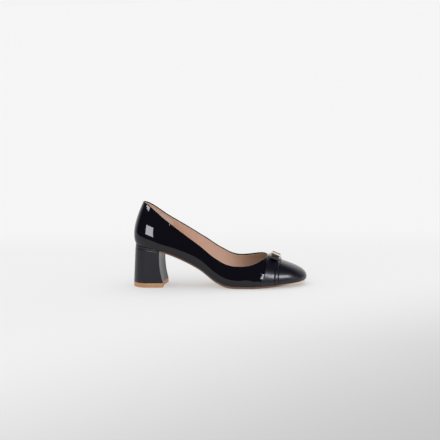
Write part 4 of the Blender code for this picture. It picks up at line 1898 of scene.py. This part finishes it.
@dataclass
class Bow:
    """Two pairs of ribbon loops, one on the other, under a plain arched keeper."""

    shoe: Shoe
    overlays: ToeOverlays
    ahead: float = 0.0092
    ribbon_width: float = 0.0116
    gather: float = 0.80
    ribbon_thickness: float = 0.0005
    lower_reach: float = 0.0150
    upper_reach: float = 0.0120
    loop_height: float = 0.0026
    loop_pinch: float = 0.45
    lower_bends: tuple[float, float] = (0.0001, -0.0011)
    upper_bends: tuple[float, float] = (0.0024, 0.0004)
    keeper_length: float = 0.0196
    keeper_width: float = 0.0070
    keeper_thickness: float = 0.0008
    keeper_edge: float = 0.35
    keeper_corner: tuple[float, int] = (0.16, 8)
    keeper_rows: int = 26
    loop_open_by: float = 0.9
    loop_roundness: int = 7
    loop_points: int = 64
    place: Vector = field(init=False)
    across: Vector = field(init=False)
    upward: Vector = field(init=False)
    forward: Vector = field(init=False)
    lift: float = field(init=False)

    def swell(self, share: float) -> float:
        """How far a loop has opened, from 0 under the keeper to 1 near its end."""
        return math.sin(min(1.0, abs(share) / self.loop_open_by) * math.pi / 2) ** 2

    def section(self, reach: float, outer_bend: float, inner_bend: float) -> np.ndarray:
        """A pair of loops across the shoe, as closed points (across, up) from the top middle.

        Args:
            reach: from the middle to a loop's end.
            outer_bend: how far the loop on the foot's outer side stands above the middle.
            inner_bend: the same on the inner side.

        Returns:
            The outside of the ribbon.
        """
        points = []
        for turn in (np.arange(2 * self.loop_points) + self.loop_points / 2) * math.pi / self.loop_points:
            share, swell = math.cos(turn), self.swell(math.cos(turn))
            bend = outer_bend if share < 0 else inner_bend
            full = self.loop_height / 2 * (self.loop_pinch + (1 - self.loop_pinch) * swell)
            half = full * math.sqrt(1 - abs(share) ** self.loop_roundness)
            face = 1 if turn % (2 * math.pi) < math.pi else -1
            middle = self.loop_height * self.loop_pinch / 2 + bend * swell
            points.append((reach * share, middle + face * half))
        return np.array(points)

    def cut_length(self, reach: float, bends: tuple[float, float]) -> float:
        """How long the ribbon of a pair of loops is along its middle; reach and bends as for the loops."""
        outer = self.section(reach, *bends)
        return float(run_along(outer, closed=True)[-1]) - math.pi * self.ribbon_thickness

    def seat(self) -> None:
        """Finds the bow's place on the crest, its three directions and how high the ribbon lies."""
        last = self.shoe.last
        x, half = last.throat + self.ahead, self.ribbon_width / 2
        middle = last.above(x, 0.0)
        self.across = (last.above(x, self.lower_reach) - last.above(x, -self.lower_reach)).normalized()
        along = last.above(x + half, 0.0) - last.above(x - half, 0.0)
        self.upward = along.cross(self.across).normalized()
        self.forward = self.across.cross(self.upward)

        def proud(ahead: float, aside: float) -> float:
            """How high the upper stands there, over the middle."""
            at = middle + self.forward * ahead + self.across * aside
            return (last.above(at.x, at.y) - middle).dot(self.upward)

        seat = max(proud(ahead, 0.0) for ahead in (-self.keeper_length / 2, 0.0, self.keeper_length / 2))
        section = self.section(self.lower_reach, *self.lower_bends)
        need = max(proud(ahead, y) - z for ahead in (-half, 0.0, half) for y, z in section[::4])
        over = 2 * last.clearance + self.overlays.piping_thickness
        self.place = middle + self.upward * (seat + over)
        self.lift = max(need - seat, 0.0)

    def loops(self, name: str, reach: float, bends: tuple[float, float], lift: float) -> Piece:
        """Two loops of one ribbon, drawn in under the keeper, with the map that its ribs follow.

        Args:
            name: the piece's name.
            reach: from the middle to a loop's end.
            bends: how far its outer and its inner end stand above the middle.
            lift: how high the ribbon lies above the bow's place.

        Returns:
            The piece.
        """
        outer = self.section(reach, *bends)
        along = np.roll(outer, -1, axis=0) - np.roll(outer, 1, axis=0)
        along /= np.linalg.norm(along, axis=1)[:, None]
        inward = np.stack([-along[:, 1], along[:, 0]], axis=1)
        radius = self.ribbon_thickness / 2
        edge = np.linspace(-math.pi / 2, math.pi / 2, 5)
        rings = []
        for (y, z), (in_y, in_z) in zip(outer, inward):
            half = self.ribbon_width / 2 * (self.gather + (1 - self.gather) * self.swell(y / reach))
            inner = half - radius
            loop = [(inner + radius * math.cos(a), radius + radius * math.sin(a)) for a in edge]
            loop += [(inner * s, 2 * radius) for s in (0.5, 0.0, -0.5)]
            loop += [(-inner - radius * math.cos(a), radius - radius * math.sin(a)) for a in edge]
            loop += [(inner * s, 0.0) for s in (-0.5, 0.0, 0.5)]
            ring = []
            for ahead, deep in loop:
                up, aside = z + in_z * deep + lift, y + in_y * deep
                ring.append(self.place + self.forward * ahead + self.across * aside + self.upward * up)
            rings.append(ring)
        run = run_along(outer, closed=True)
        marks = np.stack(np.broadcast_arrays(run[:, None], np.array([ahead for ahead, _ in loop])), axis=-1)
        return ring_stack(name, np.array(rings, float), Ends.JOINED, marks)

    def keeper(self, stack: float) -> Piece:
        """The arched plate over the middle of the ribbons.

        Args:
            stack: the height of the ribbons.

        Returns:
            The piece.
        """
        shares = np.linspace(0.0, 1.0, self.keeper_rows)
        rise = monotone_curve(KEEPER_ROWS, 1, shares) * (stack + self.shoe.last.clearance)
        half = np.column_stack([shares * self.keeper_length / 2, rise])
        profile = np.vstack([half[:0:-1] * (-1, 1), half])
        slope = np.gradient(profile, axis=0)
        slope /= np.linalg.norm(slope, axis=1)[:, None]
        radius = self.keeper_thickness * self.keeper_edge
        narrowing, power = self.keeper_corner
        rings = []
        for number, ((x, z), (run, lift)) in enumerate(zip(profile, slope)):
            end = abs(2 * number / (len(profile) - 1) - 1)
            narrow = self.keeper_width * (1 - narrowing * end**power)
            loop = rounded_profile(narrow, 0.0, self.keeper_thickness, radius, 9)
            ring = []
            for aside, deep in loop:
                at = self.place + self.forward * (x - lift * deep) + self.upward * (z + run * deep)
                ring.append(at + self.across * (aside - narrow / 2))
            rings.append(ring)
        return ring_stack("keeper_plate", np.array(rings, float), Ends.CAPPED)

    def build(self) -> None:
        """Makes and hands in the loops and the keeper."""
        self.seat()
        ribbon = Grosgrain().material()
        layer = self.loop_height * self.loop_pinch + self.shoe.last.clearance
        for name, node, reach, bends, lift in (
            ("ribbon_lower", "bow_lower_loops", self.lower_reach, self.lower_bends, self.lift),
            ("ribbon_upper", "bow_upper_loops", self.upper_reach, self.upper_bends, self.lift + layer),
        ):
            piece = self.loops(name, reach, bends, lift)
            smooth(piece, 50)
            self.shoe.hand_in(piece, ribbon, "ribbon", node)
            flat = (self.ribbon_width, self.cut_length(reach, bends))
        plate = self.keeper(self.lift + 2 * layer)
        smooth(plate)
        self.shoe.hand_in(plate, Metal().material(), "keeper_metal", "bow_keeper")


def towards(bearing: float, height: float) -> Vector:
    """The direction from the shoe at a bearing and a height.

    Args:
        bearing: degrees round the shoe, from 0 in front of its outer side towards the toe.
        height: degrees above the floor.

    Returns:
        A unit vector.
    """
    bearing, height = math.radians(bearing), math.radians(height)
    level = math.cos(height)
    return Vector((math.sin(bearing) * level, -math.cos(bearing) * level, math.sin(height)))


@dataclass(frozen=True)
class Softbox:
    """A lamp with a flat face, seen in reflections only, at a bearing in degrees from the place it faces.

    Bearing 0 is in front of the shoe's outer side and 90 beyond its toe. The radiance is in watts for each
    square metre and steradian, and the roll turns the lamp anticlockwise as seen from the shoe.
    """

    name: str
    aim: tuple[float, float, float]
    bearing: float
    height: float
    width: float
    tall: float
    radiance: float
    distance: float
    roll: float = 0.0
    tint: tuple[float, float, float] = (0.92, 0.93, 1.0)

    def build(self) -> None:
        """Adds the lamp."""
        light = bpy.data.lights.new(self.name, "AREA")
        light.shape = "RECTANGLE"
        light.size, light.size_y = self.width, self.tall
        light.energy = self.radiance * math.pi * self.width * self.tall
        light.color = self.tint
        lamp = placed(self.name, light)
        away = towards(self.bearing, self.height)
        lamp.location = Vector(self.aim) + away * self.distance
        lamp.rotation_mode = "QUATERNION"
        roll = Quaternion((0.0, 0.0, 1.0), math.radians(self.roll))
        lamp.rotation_quaternion = away.to_track_quat("Z", "Y") @ roll
        lamp.visible_diffuse = False
        lamp.visible_camera = False


@dataclass
class Studio:
    """The pale floor, the soft room round it, the lamps and the camera."""

    target: tuple[float, float, float] = (0.1017, 0.0, 0.0911)
    distance: float = 2.2
    bearing: float = 8.7
    height: float = 8.0
    roll: float = 1.7
    frame_width: float = 0.6103
    sensor: float = 36.0
    floor_size: float = 400.0
    floor_gap: float = 0.0001
    front_edge: float = -0.38
    front_bend: float = 0.03
    front_fall: float = 8.0
    front_reach: float = 3.5
    # The floor's tones: the first is painted shade, darkening the floor towards the front.
    floor_tones: tuple[float, float, float] = (0.53, 0.850, 0.890)
    front_shade_span: tuple[float, float] = (-1.15, -0.28)
    back_fade: tuple[float, float] = (0.25, 0.55)
    front_slant: float = 0.9
    sky: float = 0.86
    far_tone: float = 0.905
    sun: float = 0.40
    fill: float = 0.45
    # floor_glow: the floor's emission, painted light that fills the shadows round the shoe.
    floor_glow: float = 0.42
    wall_span: tuple[float, float] = (-0.10, 0.75)
    wall_top: tuple[float, float] = (0.45, 0.92)
    toe_span: tuple[float, float] = (0.15, 0.95)
    toe_dimming: float = 0.6
    wall_tone: float = 1.30
    room_tone: float = 0.025
    sun_turn: tuple[float, float, float] = (-12.0, 8.0, 0.0)
    fill_turn: tuple[float, float, float] = (66.0, 0.0, -14.0)
    softness: float = 70.0
    lamps: tuple[Softbox, ...] = (
        Softbox("window_low", (0.020, -0.030, 0.072), -24.5, 12.0, 0.150, 0.090, 13.5, 0.3, -6.0),
        Softbox("window_high", (0.005, -0.015, 0.100), -55.0, 31.2, 0.40, 0.055, 15.0, 0.9, 0.0),
        Softbox("front_right", (0.185, -0.020, 0.030), 32.0, 34.0, 0.74, 0.62, 18.0, 2.0),
        Softbox("front_slot", (0.175, -0.036, 0.018), 14.0, 27.0, 0.07, 1.10, 14.0, 2.0, -19.0),
        Softbox("front_side", (0.200, -0.020, 0.020), 62.0, 13.0, 1.50, 0.80, 1.1, 2.0),
    )

    def camera(self) -> None:
        """Sets the camera where the photograph was taken from, rolled as it was."""
        bearing, roll = math.radians(self.bearing), math.radians(self.roll)
        back = towards(self.bearing, self.height)
        right = Vector((math.cos(bearing), math.sin(bearing), 0.0))
        up = back.cross(right)
        turned_right = right * math.cos(roll) - up * math.sin(roll)
        turned_up = right * math.sin(roll) + up * math.cos(roll)
        data = bpy.data.cameras.new("camera")
        data.sensor_width = self.sensor
        data.lens = self.sensor * self.distance / self.frame_width
        camera = placed("camera", data)
        turn = Matrix((turned_right, turned_up, back)).transposed()
        camera.matrix_world = Matrix.Translation(Vector(self.target) + back * self.distance) @ turn.to_4x4()
        bpy.context.scene.camera = camera

    def floor(self) -> None:
        """A wide pale table. Its front falls away, so the shoe's side mirrors the dark room over it. Its tone
        carries painted shade, darker towards the front, and it glows as painted light that softens the
        shadows round the shoe and lights the sole from below.
        """
        bends = self.front_edge + np.linspace(-self.front_bend, self.front_bend, 9)
        rows = [-self.front_reach, *bends.tolist(), self.floor_size / 2]
        last, height, heights = rows[-2], -self.floor_gap, [-self.floor_gap]
        for y in rows[-2::-1]:
            share = min(1.0, (rows[-2] - (y + last) / 2) / (2 * self.front_bend))
            height -= (last - y) * math.tan(math.radians(self.front_fall) * share)
            last = y
            heights.insert(0, height)
        deselect()
        bpy.ops.mesh.primitive_grid_add(x_subdivisions=1, y_subdivisions=len(rows) - 1, size=1.0)
        floor = bpy.context.active_object
        floor.name = floor.data.name = "floor"
        for vertex in floor.data.vertices:
            row = round((vertex.co.y + 0.5) * (len(rows) - 1))
            vertex.co = (vertex.co.x * self.floor_size, rows[row], heights[row])
        smooth(floor, 180.0)
        tree = Tree("pale_floor")
        along, behind, _ = tree.parts()
        place = tree.math("SUBTRACT", behind, tree.math("MULTIPLY", along, self.front_slant))
        close, middle, beyond = ((tone, tone, tone) for tone in self.floor_tones)
        # Painted shade: the floor darkens towards the front, and is a little lighter behind the shoe.
        front = tree.mixed(tree.step(place, self.front_shade_span), close, middle)
        tone = tree.mixed(tree.step(behind, self.back_fade), front, beyond)
        # The floor glows: painted light that softens the shadows and lights the sole from below.
        lit = tree.mixed(1.0 - self.floor_glow, (0.0, 0.0, 0.0), tone)
        tree.set(base_color=lit, roughness=tree.spread(tree.noise(30.0), 0.7, 0.8), specular_ior_level=0.0)
        tree.set(emission_color=tone, emission_strength=self.floor_glow)
        floor.data.materials.append(tree.material)
        floor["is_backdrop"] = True

    def room(self) -> None:
        """The room: pale to look at and in diffuse light, but in reflections bright behind the shoe only."""
        world = bpy.data.worlds.new("room")
        bpy.context.scene.world = world
        world.use_nodes = True
        world.node_tree.nodes.clear()
        tree = Nodes(world.node_tree)
        split = tree.add("ShaderNodeSeparateXYZ")
        tree.feed(split.inputs[0], tree.add("ShaderNodeTexCoord").outputs["Generated"])
        aside, behind, upward = split.outputs
        below = tree.math("SUBTRACT", 1.0, tree.step(upward, self.wall_top))
        wall = tree.math("MULTIPLY", tree.step(behind, self.wall_span), below)
        dimmed = tree.math("MULTIPLY", tree.step(aside, self.toe_span), self.toe_dimming)
        toe_side = tree.math("SUBTRACT", 1.0, dimmed)
        bright = tree.math("MULTIPLY", tree.math("MULTIPLY", wall, toe_side), self.wall_tone)
        shades = []
        for strength in (tree.math("ADD", bright, self.room_tone), self.sky, self.far_tone):
            node = tree.add("ShaderNodeBackground")
            tree.feed(node.inputs["Strength"], strength)
            tree.feed(node.inputs["Color"], (1.0, 1.0, 1.0, 1.0))
            shades.append(node.outputs[0])
        rays = tree.add("ShaderNodeLightPath")
        shade = shades[0]
        for ray, other in (("Is Diffuse Ray", shades[1]), ("Is Camera Ray", shades[2])):
            mix = tree.add("ShaderNodeMixShader")
            for socket, value in zip(mix.inputs, (rays.outputs[ray], shade, other)):
                tree.feed(socket, value)
            shade = mix.outputs[0]
        tree.feed(tree.add("ShaderNodeOutputWorld").inputs["Surface"], shade)

    def build(self) -> None:
        """Sets up the whole studio."""
        bpy.context.scene.view_settings.view_transform = "Standard"
        self.camera()
        self.floor()
        self.room()
        self.daylight()
        for lamp in self.lamps:
            lamp.build()

    def daylight(self) -> None:
        """Two wide soft lights: one from above, for the shadow under the arch, and one from the front."""
        for name, power, turn in (("daylight", self.sun, self.sun_turn), ("fill", self.fill, self.fill_turn)):
            light = bpy.data.lights.new(name, "SUN")
            light.energy, light.angle = power, math.radians(self.softness)
            sun = placed(name, light)
            sun.rotation_euler = [math.radians(angle) for angle in turn]
            sun.visible_glossy = False


def corners() -> list[list[float]]:
    """The lowest and highest corner of what shows, as plain lists."""
    return [list(corner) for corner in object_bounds()]


def main() -> None:
    """Builds the pump round its frame, in its studio."""
    logging.basicConfig(level=logging.INFO, format="%(message)s", stream=sys.stdout)
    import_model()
    Studio().build()
    shoe = Shoe(Last())
    Upper(shoe).build()
    overlays = ToeOverlays(shoe)
    overlays.build()
    heel = Heel(shoe)
    heel.build()
    Sole(shoe).build(heel)
    Bow(shoe, overlays).build()
    log.info("%d pieces", len(shoe.made))


if __name__ == "__main__":
    main()
